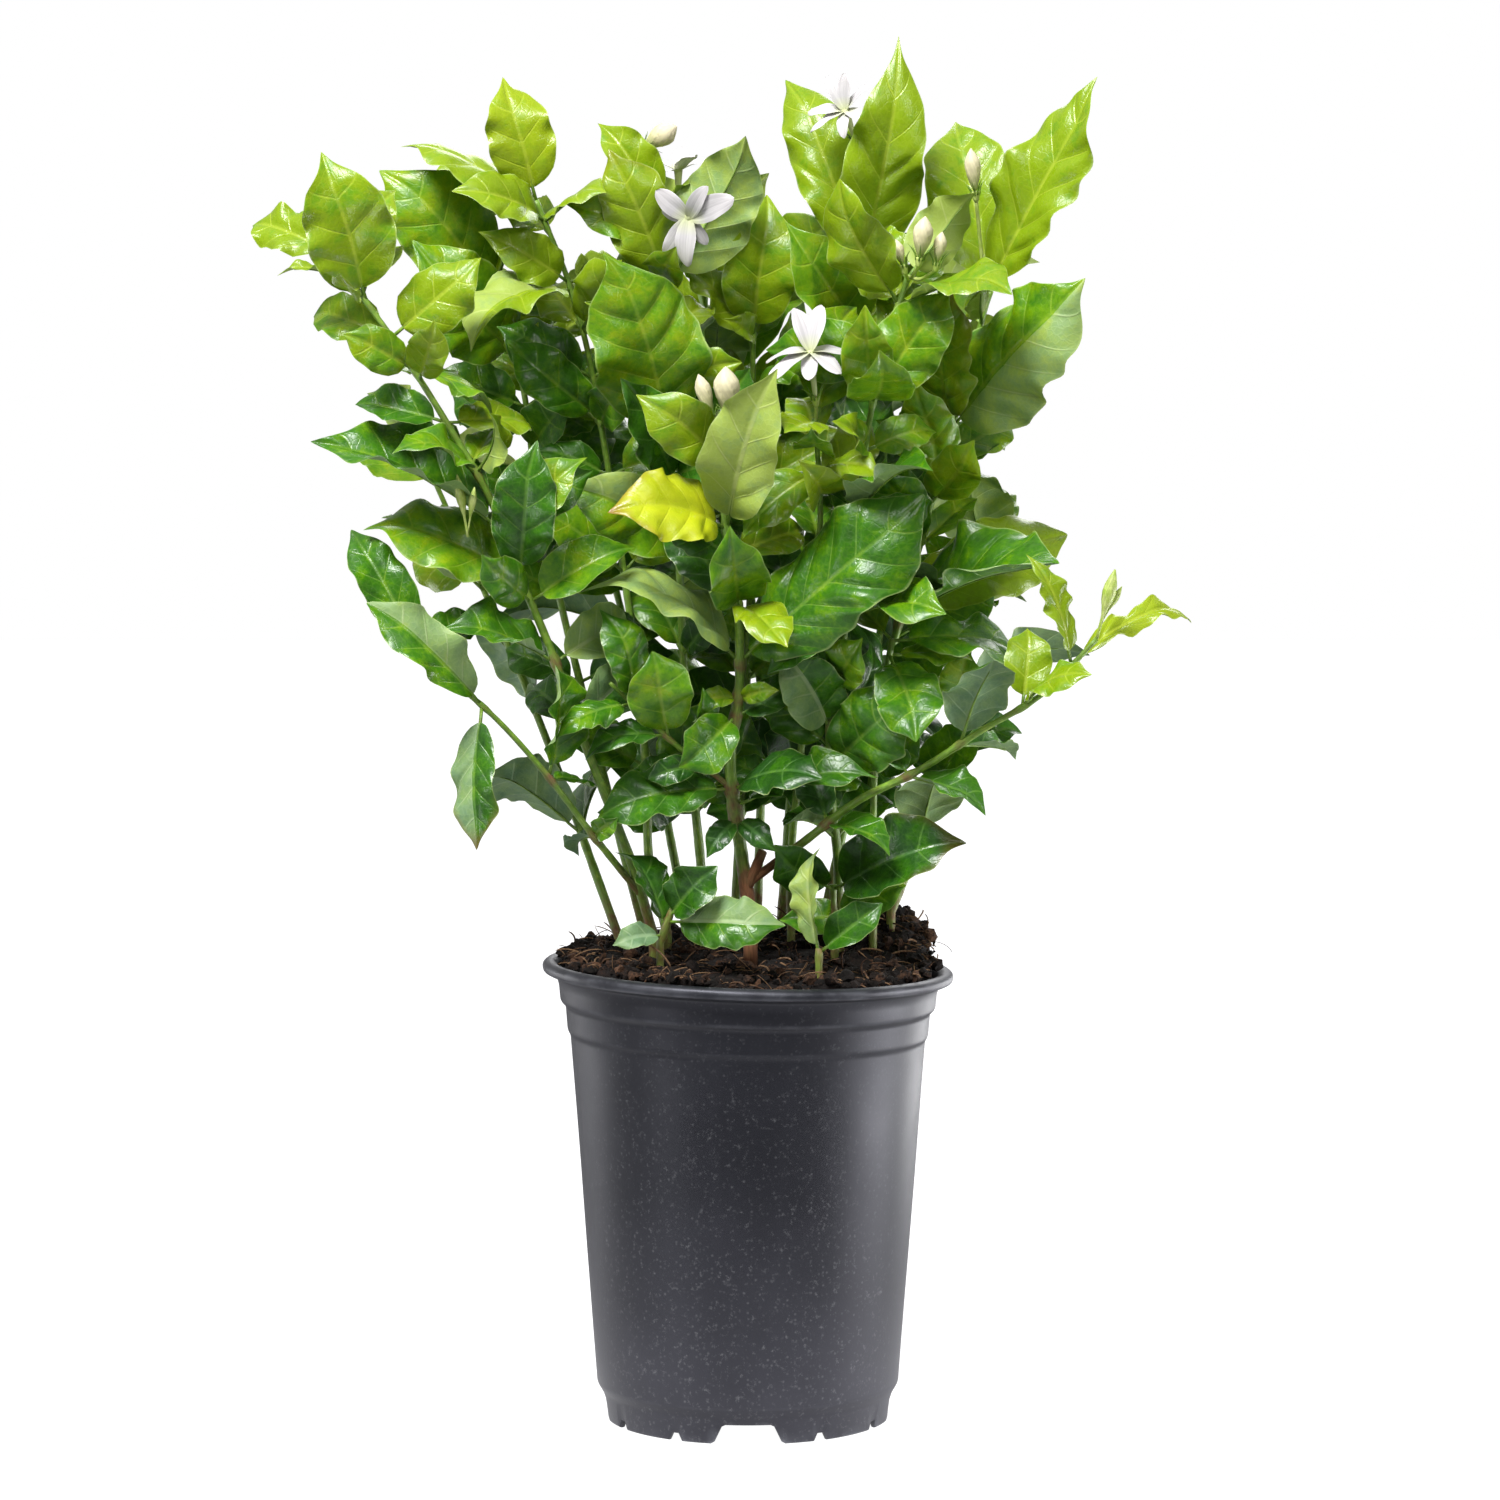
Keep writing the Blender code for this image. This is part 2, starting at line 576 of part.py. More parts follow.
def grown_leaves(name, route, first, last, spacing, reaches, facing):
    """Opposite pairs up a stem by rule, each pair a quarter turn on from the one below it."""
    draw = random.Random(f"{LEAF_SEED} {name}")
    pairs = round((last - first) / spacing) + 1
    turn = draw.uniform(0, 360)
    rows = []
    for pair in range(pairs):
        distance = first + (last - first) * pair / max(1, pairs - 1)
        root, _ = point_on(route, distance)
        for half_turn in (0, 180):
            heading = math.radians(turn + half_turn + draw.uniform(-20, 20))
            rise = math.radians(draw.uniform(10, 45))
            out = Vector((math.cos(heading), math.sin(heading), 0))
            reach = draw.uniform(*reaches)
            tip = root + (out * math.cos(rise) + Vector((0, 0, math.sin(rise)))) * reach
            rows.append((distance, tip, out * 0.4 + Vector(facing)))
        turn += 90
    return rows


def stem_routes():
    """The route and girth of every stem, arms among them."""
    stems = {}
    for name, shoot in SHOOTS.items():
        points = list(shoot["route"])
        if "grows_from" in shoot:
            parent, distance = shoot["grows_from"]
            points.insert(0, point_on(stems[parent][0], distance)[0])
        stems[name] = (even_route(smooth_route(points), STEM_STEP), shoot["girth"])
    for name, (foot, bend, tip) in BACK_SHOOTS.items():
        route = smooth_route([(*foot, soil_height(*foot) + FOOT_RISE), bend, tip])
        stems[name] = (even_route(route, STEM_STEP), BACK_GIRTH)
    return stems


def body_of(name):
    """The shoot that a stem is one body with."""
    return SHOOTS.get(name, {}).get("grows_from", (name, 0))[0]


def stem_solid(name, route, girth):
    """A stem's tube, with a straight foot down into its hole when it rises from the soil."""
    route = list(route)
    if body_of(name) == name:
        route.insert(0, route[0] - Vector((0, 0, HOLE_DEPTH)))
    return tube(route, (girth[0] / 2, girth[1] / 2), STEM_SIDES)


def soil_height(x, y):
    """Height of the soil, with its heaps and lumps, before the rim's droop."""
    height = SOIL_LEVEL
    for centre_x, centre_y, rise, spread in SOIL_MOUNDS:
        height += rise * math.exp(-((x - centre_x) ** 2 + (y - centre_y) ** 2) / (2 * spread ** 2))
    return height + SOIL_LUMPS * noise.noise(Vector((x / 11, y / 11, 3.7)))


def flower_frame(axis):
    """Two directions square to a flower's axis, the first to the right of the plant's best side."""
    right = (Vector((1, 0, 0)) - axis * axis.x).normalized()
    return right, axis.cross(right)


def flower_stalk(route, distance, calyx, axis):
    """Green stalk from a stem to a flower, and the calyx at its end."""
    start, _ = point_on(route, distance)
    base = calyx - axis * CALYX_LENGTH
    bend = (start + base) / 2 - axis * ((base - start).length * PEDICEL_SAG)
    stalk = tube(even_route(smooth_route([start, bend, base + axis]), 10.0), PEDICEL_RADII, 4)
    cup = tube([base, calyx], CALYX_RADII, FLOWER_SIDES)
    return [stalk, cup]


def lobe_solid(mouth, axis, turn, lean, length):
    """One white lobe of a flower, a bent and pointed blade out of the mouth of its tube."""
    right, up = flower_frame(axis)
    outward = right * math.cos(math.radians(turn)) + up * math.sin(math.radians(turn))
    along = axis * math.cos(math.radians(lean)) + outward * math.sin(math.radians(lean))
    face = axis * math.sin(math.radians(lean)) - outward * math.cos(math.radians(lean))
    side = along.cross(face)
    rows = []
    for t, width in LOBE_CUTS:
        centre = mouth + along * (t * length) - face * (LOBE_DROOP * length * t * t)
        half = side * (width * length)
        lift = face * (LOBE_CUP * width * length)
        row = [centre - half + lift, centre, centre + half + lift]
        rows.append(row if t else row[::2])
    rows.append([mouth + (along - face * LOBE_DROOP) * length])
    return plate(rows, face * LOBE_THICKNESS)


def bud_solid(base, tip, radius):
    """A pointed bud, turned about its own axis."""
    axis = (tip - base).normalized()
    right, up = flower_frame(axis)
    verts, faces = [], []
    for share, width in BUD_PROFILE:
        for k in range(BUD_SIDES):
            turn = 2 * math.pi * k / BUD_SIDES
            spoke = right * math.cos(turn) + up * math.sin(turn)
            verts.append(base + (tip - base) * share + spoke * (radius * width))
    verts.append(tip.copy())
    for ring in range(len(BUD_PROFILE) - 1):
        for k in range(BUD_SIDES):
            a, b = ring * BUD_SIDES + k, ring * BUD_SIDES + (k + 1) % BUD_SIDES
            faces.append((a, b, b + BUD_SIDES, a + BUD_SIDES))
    last = (len(BUD_PROFILE) - 1) * BUD_SIDES
    faces += [(last + k, last + (k + 1) % BUD_SIDES, len(verts) - 1) for k in range(BUD_SIDES)]
    faces.append(tuple(range(BUD_SIDES))[::-1])
    return verts, faces


def grow_plant():
    """Every solid of the plant, by the node that it belongs to."""
    neighbours = Neighbours()
    neighbours.add("soil", soil_solid())
    neighbours.add("pot", lathe_solid(pot_outline(), POT_SIDES))
    solids = {}
    stems = stem_routes()
    for name, (route, girth) in stems.items():
        solid = stem_solid(name, route, girth)
        solids.setdefault("stem_" + body_of(name), []).append(solid)
        neighbours.add(body_of(name), solid)
    for name, (stem, distance, calyx, mouth, lobes) in BLOOMS.items():
        calyx, mouth = Vector(calyx), Vector(mouth)
        axis = (mouth - calyx).normalized()
        for solid in flower_stalk(stems[stem][0], distance, calyx, axis):
            solids["stem_" + body_of(stem)].append(solid)
            neighbours.add(body_of(stem), solid)
        solids[name] = [tube([calyx + axis * SEAT_GAP, mouth], FLOWER_TUBE_RADII, FLOWER_SIDES)]
        solids[name] += [lobe_solid(mouth, axis, *lobe) for lobe in lobes]
        for solid in solids[name]:
            neighbours.add(name, solid)
    for name, (stem, distance, base, tip, radius) in BUDS.items():
        base, tip = Vector(base), Vector(tip)
        axis = (tip - base).normalized()
        for solid in flower_stalk(stems[stem][0], distance, base - axis * SEAT_GAP, axis):
            solids["stem_" + body_of(stem)].append(solid)
            neighbours.add(body_of(stem), solid)
        solids[name] = [bud_solid(base, tip, radius)]
        neighbours.add(name, solids[name][0])
    for leaf_row in wanted_leaves(stems):
        owner = leaf_row[1]
        leaf = grow_leaf(*leaf_row, neighbours)
        if leaf:
            solids["stem_" + owner].append(leaf_solid(leaf))
    return solids


def wanted_leaves(stems):
    """Name, shoot, root, tip, facing and width of every leaf: chosen ones, the largest first, then
    the lower leaves of each shoot, and those of the back shoots."""
    chosen, grown = [], []
    for name, shoot in SHOOTS.items():
        route = stems[name][0]
        for index, (distance, tip, facing, *width) in enumerate(shoot["leaves"]):
            root, _ = point_on(route, distance)
            chosen.append((f"{name} {index}", body_of(name), root, Vector(tip),
                           Vector(FACING[facing]), width[0] if width else None))
        if "lower" in shoot:
            rows = grown_leaves(name, route, *shoot["lower"], *LOWER_LEAVES)
            for index, (distance, tip, facing) in enumerate(rows):
                root, _ = point_on(route, distance)
                grown.append((f"{name} low {index}", body_of(name), root, tip, facing, None))
    chosen.sort(key=lambda row: -(row[3] - row[2]).length)
    for name in BACK_SHOOTS:
        route = stems[name][0]
        total = route_length(route)
        rows = grown_leaves(name, route, BACK_BARE * total, 0.98 * total, *BACK_LEAVES)
        for index, (distance, tip, facing) in enumerate(rows):
            grown.append((f"{name} {index}", name, point_on(route, distance)[0], tip, facing, None))
    return chosen + grown


def pot_outline():
    """Closed outline of the pot's wall: down the outer side, under the floor and up the inside."""
    foot_radius = POT_SKIN[-1][0] - POT_FOOT_WIDTH
    under = [(foot_radius, 0.0), (foot_radius - 0.5, POT_FLOOR), (0.0, POT_FLOOR)]
    inside = [(0.0, POT_FLOOR + POT_WALL)] + inner_wall()
    return POT_RIM_CREST[::-1] + POT_SKIN + under + inside


def inner_wall():
    """The inner side of the wall, from the floor up to under the rim."""
    floor = POT_FLOOR + POT_WALL
    neck, shoulder, body_top, foot_top = POT_SKIN[4], POT_SKIN[6], POT_SKIN[8], POT_SKIN[10]
    return [(foot_top[0] - POT_WALL, floor)] + [
        (radius - POT_WALL, height) for radius, height in (body_top, shoulder, neck)
    ]


def lathe_solid(profile, sides):
    """Solid turned about Z from a closed outline, with the rim's droop."""
    verts, rings = [], []
    for radius, height in profile:
        count = 1 if radius == 0 else sides
        rings.append(range(len(verts), len(verts) + count))
        for k in range(count):
            turn = 2 * math.pi * k / sides
            point = Vector((radius * math.cos(turn), radius * math.sin(turn), height))
            verts.append(droop(point))
    faces = []
    for upper, lower in zip(rings, rings[1:] + rings[:1]):
        for k in range(sides):
            corners = (
                upper[k % len(upper)], lower[k % len(lower)],
                lower[(k + 1) % len(lower)], upper[(k + 1) % len(upper)],
            )
            face = tuple(dict.fromkeys(corners))
            if len(face) > 2:
                faces.append(face)
    return verts, faces


def soil_solid():
    """The filling: a lumpy top, sides that follow the pot's wall, and a flat bottom on its floor."""
    wall = [(radius - SOIL_GAP, height) for radius, height in inner_wall()]
    wall[0] = (wall[0][0], wall[0][1] + SOIL_GAP)
    edge_radius = wall[-1][0]
    profile = [(0.0, None)] + [(radius, None) for radius in SOIL_RINGS] + [(edge_radius - 1.5, None)]
    profile += [(edge_radius, POT_SKIN[4][1] + 1.0)] + wall[-2::-1] + [(0.0, wall[0][1])]
    verts, faces = lathe_solid([(radius, height or 0.0) for radius, height in profile], POT_SIDES)
    lumpy = 1 + POT_SIDES * (len(SOIL_RINGS) + 1)
    for point in verts[:lumpy]:
        point.z = soil_height(point.x, point.y)
        point.z = droop(point).z
    return verts, faces


def clear_scene():
    for thing in list(bpy.data.objects):
        bpy.data.objects.remove(thing, do_unlink=True)


def finish(name, colour, roughness):
    """Plain finish of one sub-part."""
    material = bpy.data.materials.new(name)
    material.use_nodes = True
    shader = material.node_tree.nodes["Principled BSDF"]
    shader.inputs["Base Color"].default_value = (*colour, 1.0)
    shader.inputs["Roughness"].default_value = roughness
    return material


def add_object(name, solid, material, collection):
    """Object from a solid in millimetres."""
    verts, faces = solid
    mesh = bpy.data.meshes.new(name)
    mesh.from_pydata([point * METRES for point in verts], [], faces)
    mesh.validate()
    piece = bpy.data.objects.new(name, mesh)
    piece.data.materials.append(material)
    collection.objects.link(piece)
    return piece


def apply_boolean(piece, operation, collection, solver):
    """Join to, or cut from, a piece everything in a collection, and then remove the collection."""
    modifier = piece.modifiers.new(operation.title(), "BOOLEAN")
    modifier.operation = operation
    modifier.operand_type = "COLLECTION"
    modifier.collection = collection
    modifier.solver = solver
    bpy.context.view_layer.update()
    shaped = piece.evaluated_get(bpy.context.evaluated_depsgraph_get())
    mesh = bpy.data.meshes.new_from_object(shaped)
    piece.modifiers.clear()
    piece.data = mesh
    for operand in list(collection.objects):
        bpy.data.objects.remove(operand, do_unlink=True)
    bpy.data.collections.remove(collection)


def new_collection(name):
    collection = bpy.data.collections.new(name)
    bpy.context.scene.collection.children.link(collection)
    return collection


def add_joined(name, solids, material):
    """Object from several solids, joined in one body."""
    piece = add_object(name, solids[0], material, bpy.context.scene.collection)
    if len(solids) > 1:
        repeats = new_collection(name + "_repeats")
        for index, solid in enumerate(solids[1:]):
            add_object(f"{name}_repeat_{index}", solid, material, repeats)
        apply_boolean(piece, "UNION", repeats, JOIN_SOLVER)
    return piece


def wedge(angle, width, height):
    """Cutter for a drainage notch in the foot, wider at the floor than at its top."""
    out = Vector((math.cos(angle), math.sin(angle), 0))
    side = Vector((-out.y, out.x, 0))
    near, far = POT_SKIN[-1][0] - POT_FOOT_WIDTH - 3, POT_SKIN[-1][0] + 4
    verts = []
    for reach in (near, far):
        for half, level in ((-NOTCH_FLARE, -2), (NOTCH_FLARE, -2), (1, height), (-1, height)):
            verts.append(out * reach + side * (half * width / 2) + Vector((0, 0, level)))
    faces = [(0, 3, 2, 1), (4, 5, 6, 7)]
    faces += [(k, (k + 1) % 4, (k + 1) % 4 + 4, k + 4) for k in range(4)]
    return verts, faces


def add_pot():
    """The pot, with notches round its foot and holes in its floor to drain it."""
    material = finish("charcoal_polypropylene", (0.045, 0.046, 0.052), 0.42)
    pot = add_object("pot", lathe_solid(pot_outline(), POT_SIDES), material, bpy.context.scene.collection)
    cutters = new_collection("pot_cutters")
    for quarter in range(4):
        turn = math.radians(-90 + 90 * quarter)
        out = Vector((math.cos(turn), math.sin(turn), 0))
        centre = out * FLOOR_HOLE_CIRCLE + Vector((0, 0, POT_FLOOR - 3))
        hole = tube([centre, centre + Vector((0, 0, 8))], (FLOOR_HOLE / 2, FLOOR_HOLE / 2), 8)
        for solid in (wedge(turn, NOTCH_WIDTH, NOTCH_HEIGHT), hole):
            add_object("cutter", solid, material, cutters)
        for offset in SMALL_NOTCH_TURNS:
            small = wedge(turn + math.radians(offset), SMALL_NOTCH, SMALL_NOTCH * 0.8)
            add_object("cutter", small, material, cutters)
    apply_boolean(pot, "DIFFERENCE", cutters, "EXACT")
    return pot


def add_soil(stems):
    """The soil, with a plain hole for the foot of each stem."""
    material = finish("dark_peat", (0.045, 0.025, 0.017), 0.95)
    soil = add_object("soil", soil_solid(), material, bpy.context.scene.collection)
    cutters = new_collection("soil_cutters")
    for name, (route, girth) in stems.items():
        if body_of(name) != name:
            continue
        bottom = route[0] - Vector((0, 0, HOLE_DEPTH + HOLE_GAP))
        top = route[0] + Vector((0, 0, HOLE_ABOVE))
        radius = girth[0] / 2 + HOLE_GAP
        hole = tube([bottom, top], (radius, radius), 6)
        add_object("cutter", hole, material, cutters)
    apply_boolean(soil, "DIFFERENCE", cutters, "EXACT")
    return soil


def main():
    clear_scene()
    add_pot().data.shade_smooth()
    add_soil(stem_routes())
    for name, solids in grow_plant().items():
        if name.startswith("stem_"):
            material = finish("leafy_green_" + name, (0.075, 0.2, 0.022), 0.45)
        elif name.startswith("bloom_"):
            material = finish("white_petal_" + name, (0.86, 0.85, 0.83), 0.5)
        else:
            material = finish("cream_bud_" + name, (0.8, 0.75, 0.55), 0.5)
        add_joined(name, solids, material)


main()
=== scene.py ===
"""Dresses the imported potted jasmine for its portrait: the same plant, leaf by leaf, with its finishes.

Places on the plant are in millimetres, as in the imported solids. The studio's are in metres.
"""
# %% [markdown]
# # Arabian jasmine in a nursery pot
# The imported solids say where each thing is: a pot, its peat, the shoots with their leaves, the
# flowers and the buds. They are plain and faceted. This lesson puts a finer piece in the place of
# each one and gives it a finish. It could also be done by subdividing the solids, but a leaf with
# six corners has no veins to find, so each leaf is grown again from the rule that placed it.

# %% Load the solids
import math
import random

import bmesh
import bpy
import numpy as np
from mathutils import Matrix, Vector, noise
from mathutils.bvhtree import BVHTree


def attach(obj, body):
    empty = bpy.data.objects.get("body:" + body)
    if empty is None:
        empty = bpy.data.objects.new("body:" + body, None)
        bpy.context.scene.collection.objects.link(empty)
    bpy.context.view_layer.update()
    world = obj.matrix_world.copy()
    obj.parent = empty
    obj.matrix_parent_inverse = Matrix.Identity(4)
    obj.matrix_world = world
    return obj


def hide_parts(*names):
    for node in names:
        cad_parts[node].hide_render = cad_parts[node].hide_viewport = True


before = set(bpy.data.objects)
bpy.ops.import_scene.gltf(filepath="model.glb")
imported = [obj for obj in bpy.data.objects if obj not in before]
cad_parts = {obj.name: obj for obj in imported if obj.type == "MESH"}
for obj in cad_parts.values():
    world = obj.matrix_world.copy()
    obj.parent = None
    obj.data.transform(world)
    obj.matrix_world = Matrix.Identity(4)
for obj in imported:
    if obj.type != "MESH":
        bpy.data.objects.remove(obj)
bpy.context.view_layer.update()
METRES = 0.001


# %% [markdown]
# ## Helpers for finishes
# Colours are easiest to judge as the hex values of a screen, but the renderer counts light, so one
# function turns them to linear values. A material is a small net of nodes. One function adds a node,
# sets it up, joins its inputs and gives back the socket that the next node needs. The short ones
# after it name the few nodes that come up again and again.

# %% Colours and nodes
LINEAR_BELOW = 0.04045


def linear(hex_value):
    """Linear colour of an sRGB hex value such as "8DB32A"."""
    shares = [int(hex_value[k:k + 2], 16) / 255 for k in (0, 2, 4)]
    return (*(s / 12.92 if s <= LINEAR_BELOW else ((s + 0.055) / 1.055) ** 2.4 for s in shares), 1.0)


def add_node(tree, kind, inputs=None, output=0, stops=(), **settings):
    """Adds a node, sets or links its inputs, and returns one of its outputs, if it has any."""
    node = tree.nodes.new("ShaderNode" + kind)
    for name, value in settings.items():
        setattr(node, name, value)
    for index, (place, colour) in enumerate(stops):
        marks = node.color_ramp.elements
        mark = marks[index] if index < len(marks) else marks.new(place)
        mark.position, mark.color = place, linear(colour)
    for name, value in (inputs or {}).items():
        if isinstance(value, bpy.types.NodeSocket):
            tree.links.new(value, node.inputs[name])
        else:
            node.inputs[name].default_value = value
    return node.outputs[output] if node.outputs else None


def new_material(name):
    """An empty material and its net of nodes."""
    material = bpy.data.materials.new(name)
    material.use_nodes = True
    material.node_tree.nodes.clear()
    return material, material.node_tree


def mapped(tree, value, low, high, new_low, new_high):
    """A value moved from one range to another, and held inside it."""
    return add_node(tree, "MapRange", {"Value": value, 1: low, 2: high, 3: new_low, 4: new_high})


def maths(tree, operation, *values):
    """One operation on numbers or sockets."""
    return add_node(tree, "Math", dict(enumerate(values)), operation=operation)


def blend(tree, share, first, second, way="MIX"):
    """The first colour with a share of the second, a socket or a hex value, over it."""
    second = linear(second) if isinstance(second, str) else second
    return add_node(tree, "MixRGB", {"Fac": share, "Color1": first, "Color2": second}, blend_type=way)


def clouds(tree, place, scale, detail, roughness=0.5):
    """Soft noise, its scale the count of clouds in a unit of the place."""
    return add_node(tree, "TexNoise", {
        "Vector": place, "Scale": scale, "Detail": detail, "Roughness": roughness})


def ramp(tree, value, *stops):
    """Colours along a value, each stop a place and a hex value."""
    return add_node(tree, "ValToRGB", {"Fac": value}, stops=stops)


def noted(tree, name):
    """The three numbers that a mesh keeps at each point under a name."""
    return add_node(tree, "Attribute", output="Vector", attribute_name=name)


def split(tree, vector):
    """The X, Y and Z of a vector."""
    return [add_node(tree, "SeparateXYZ", {0: vector}, output=axis) for axis in "XYZ"]


print("leaf green in linear light:", [round(v, 3) for v in linear("5E9A1E")[:3]])

# %% [markdown]
# ## The studio
# The plant stands on a sheet of opal acrylic that is lit from below, before white paper. A softbox
# high at the front left puts the gloss on the leaves, a weak one at the right fills its shadows, and
# a broad one behind shines through the leaves. Small ones stand low at both sides and a little
# behind, and draw the upright bands of light on the pot. The paper lights the plant weakly, more from
# behind than in front, but the camera sees it white. The camera stands 2 m off with a long lens, so
# the pot's sides hardly converge, and looks slightly down.

# %% Camera
CAMERA_PLACE = (0.0008, -2.0, 0.435)
CAMERA_DOWN = 0.077
SENSOR_MM = 36.0
FOCAL_MM = 115.4

camera_data = bpy.data.cameras.new("portrait_camera")
camera_data.sensor_width = SENSOR_MM
camera_data.lens = FOCAL_MM
camera = bpy.data.objects.new("portrait_camera", camera_data)
camera.location = CAMERA_PLACE
camera.rotation_euler = (math.pi / 2 - CAMERA_DOWN, 0.0, 0.0)
bpy.context.scene.collection.objects.link(camera)
bpy.context.scene.camera = camera
print("camera distance m:", abs(CAMERA_PLACE[1]))

# %% Floor
FLOOR_REACH = 6.0
TABLE_GLOW = 0.8
LIT_REACH = 0.4

floor_mesh = bpy.data.meshes.new("studio_floor")
corners = [(x * FLOOR_REACH, y * FLOOR_REACH, 0.0) for x, y in ((-1, -1), (1, -1), (1, 1), (-1, 1))]
floor_mesh.from_pydata(corners, [], [(0, 1, 2, 3)])
floor = bpy.data.objects.new("studio_floor", floor_mesh)
bpy.context.scene.collection.objects.link(floor)
acrylic, tree = new_material("lit_opal_acrylic")
cloud = add_node(tree, "TexNoise", {"Scale": 6.0, "Detail": 2.0})
tone = ramp(tree, cloud, (0.3, "6C6C70"), (0.7, "727276"))
seen = add_node(tree, "LightPath", output="Is Camera Ray")
spot = add_node(tree, "TexCoord", output="Object")
away = add_node(tree, "VectorMath", {0: spot}, output="Value", operation="LENGTH")
near = mapped(tree, away, 0.1, LIT_REACH, TABLE_GLOW, 0.0)
glow = maths(tree, "MAXIMUM", near, seen)
sheet = add_node(tree, "BsdfPrincipled", {
    "Base Color": tone, "Roughness": 0.9, "Emission Color": linear("FFFFFF"), "Emission Strength": glow})
add_node(tree, "OutputMaterial", {"Surface": sheet})
floor_mesh.materials.append(acrylic)
print("floor m:", 2 * FLOOR_REACH)

# %% Light
# name, place, target, width and height in metres, watts
SOFTBOXES = (
    ("top_softbox", (-0.55, -1.1, 1.9), (0.0, 0.0, 0.4), 0.8, 0.6, 72.0),
    ("front_softbox", (0.7, -1.9, 1.4), (0.0, 0.0, 0.4), 0.8, 0.6, 12.0),
    ("left_softbox", (-0.6, -0.45, 0.14), (0.0, 0.0, 0.11), 0.2, 0.26, 1.0),
    ("left_rim_softbox", (-0.55, 0.3, 0.14), (0.0, 0.0, 0.11), 0.2, 0.26, 1.0),
    ("right_softbox", (0.55, -0.02, 0.13), (0.0, 0.0, 0.1), 0.3, 0.26, 2.9),
    ("right_rim_softbox", (0.42, 0.4, 0.13), (0.0, 0.0, 0.1), 0.3, 0.26, 1.3),
    ("back_softbox", (0.4, 1.8, 1.5), (0.0, 0.0, 0.45), 1.4, 1.0, 24.0),
)
SKY_LIGHT = (0.06, 0.45, 0.3)  # strength in front, strength behind, and what is added overhead

for name, place, target, width, height, watts in SOFTBOXES:
    lamp = bpy.data.lights.new(name, "AREA")
    lamp.shape = "RECTANGLE"
    lamp.size, lamp.size_y, lamp.energy = width, height, watts
    softbox = bpy.data.objects.new(name, lamp)
    softbox.location = place
    softbox.rotation_euler = (Vector(target) - Vector(place)).to_track_quat("-Z", "Y").to_euler()
    softbox.visible_camera = False
    bpy.context.scene.collection.objects.link(softbox)

world = bpy.data.worlds.new("light_tent")
world.use_nodes = True
tree = world.node_tree
tree.nodes.clear()
seen = add_node(tree, "LightPath", output="Is Camera Ray")
way = add_node(tree, "TexCoord", output="Generated")
depth = add_node(tree, "SeparateXYZ", {0: way}, output="Y")
height = add_node(tree, "SeparateXYZ", {0: way}, output="Z")
behind = mapped(tree, depth, -0.8, 0.9, SKY_LIGHT[0], SKY_LIGHT[1])
overhead = mapped(tree, height, 0.15, 0.8, 0.0, SKY_LIGHT[2])
level = maths(tree, "ADD", behind, overhead)
fill = add_node(tree, "Background", {"Color": linear("FFFFFF"), "Strength": level})
paper_sky = add_node(tree, "Background", {"Color": linear("FFFFFF"), "Strength": 1.0})
sky = add_node(tree, "MixShader", {0: seen, 1: fill, 2: paper_sky})
add_node(tree, "OutputWorld", {"Surface": sky})
bpy.context.scene.world = world
bpy.context.scene.view_settings.view_transform = "Standard"
print("softboxes:", len(SOFTBOXES))

# %% [markdown]
# ## Meshes from patches
# A leaf, a stem, a petal and a pot wall are all the same kind of thing to a modeller: rows of points,
# as in a knitted strip. So one class takes such grids, joins them into one mesh, and keeps notes at
# each point, such as how far it is from a midrib, for the materials to read. It lays every strip
# out flat on one map as well, so that the finish can be kept as a picture later. Subdivision
# surfaces would also give smooth leaves, but a grid lets each vein and wave be placed by a formula.

# %% Patches
MAP_MARGIN_MM = 1.2


def array(points):
    """Points as rows of three numbers."""
    return np.array([tuple(point) for point in points], float)


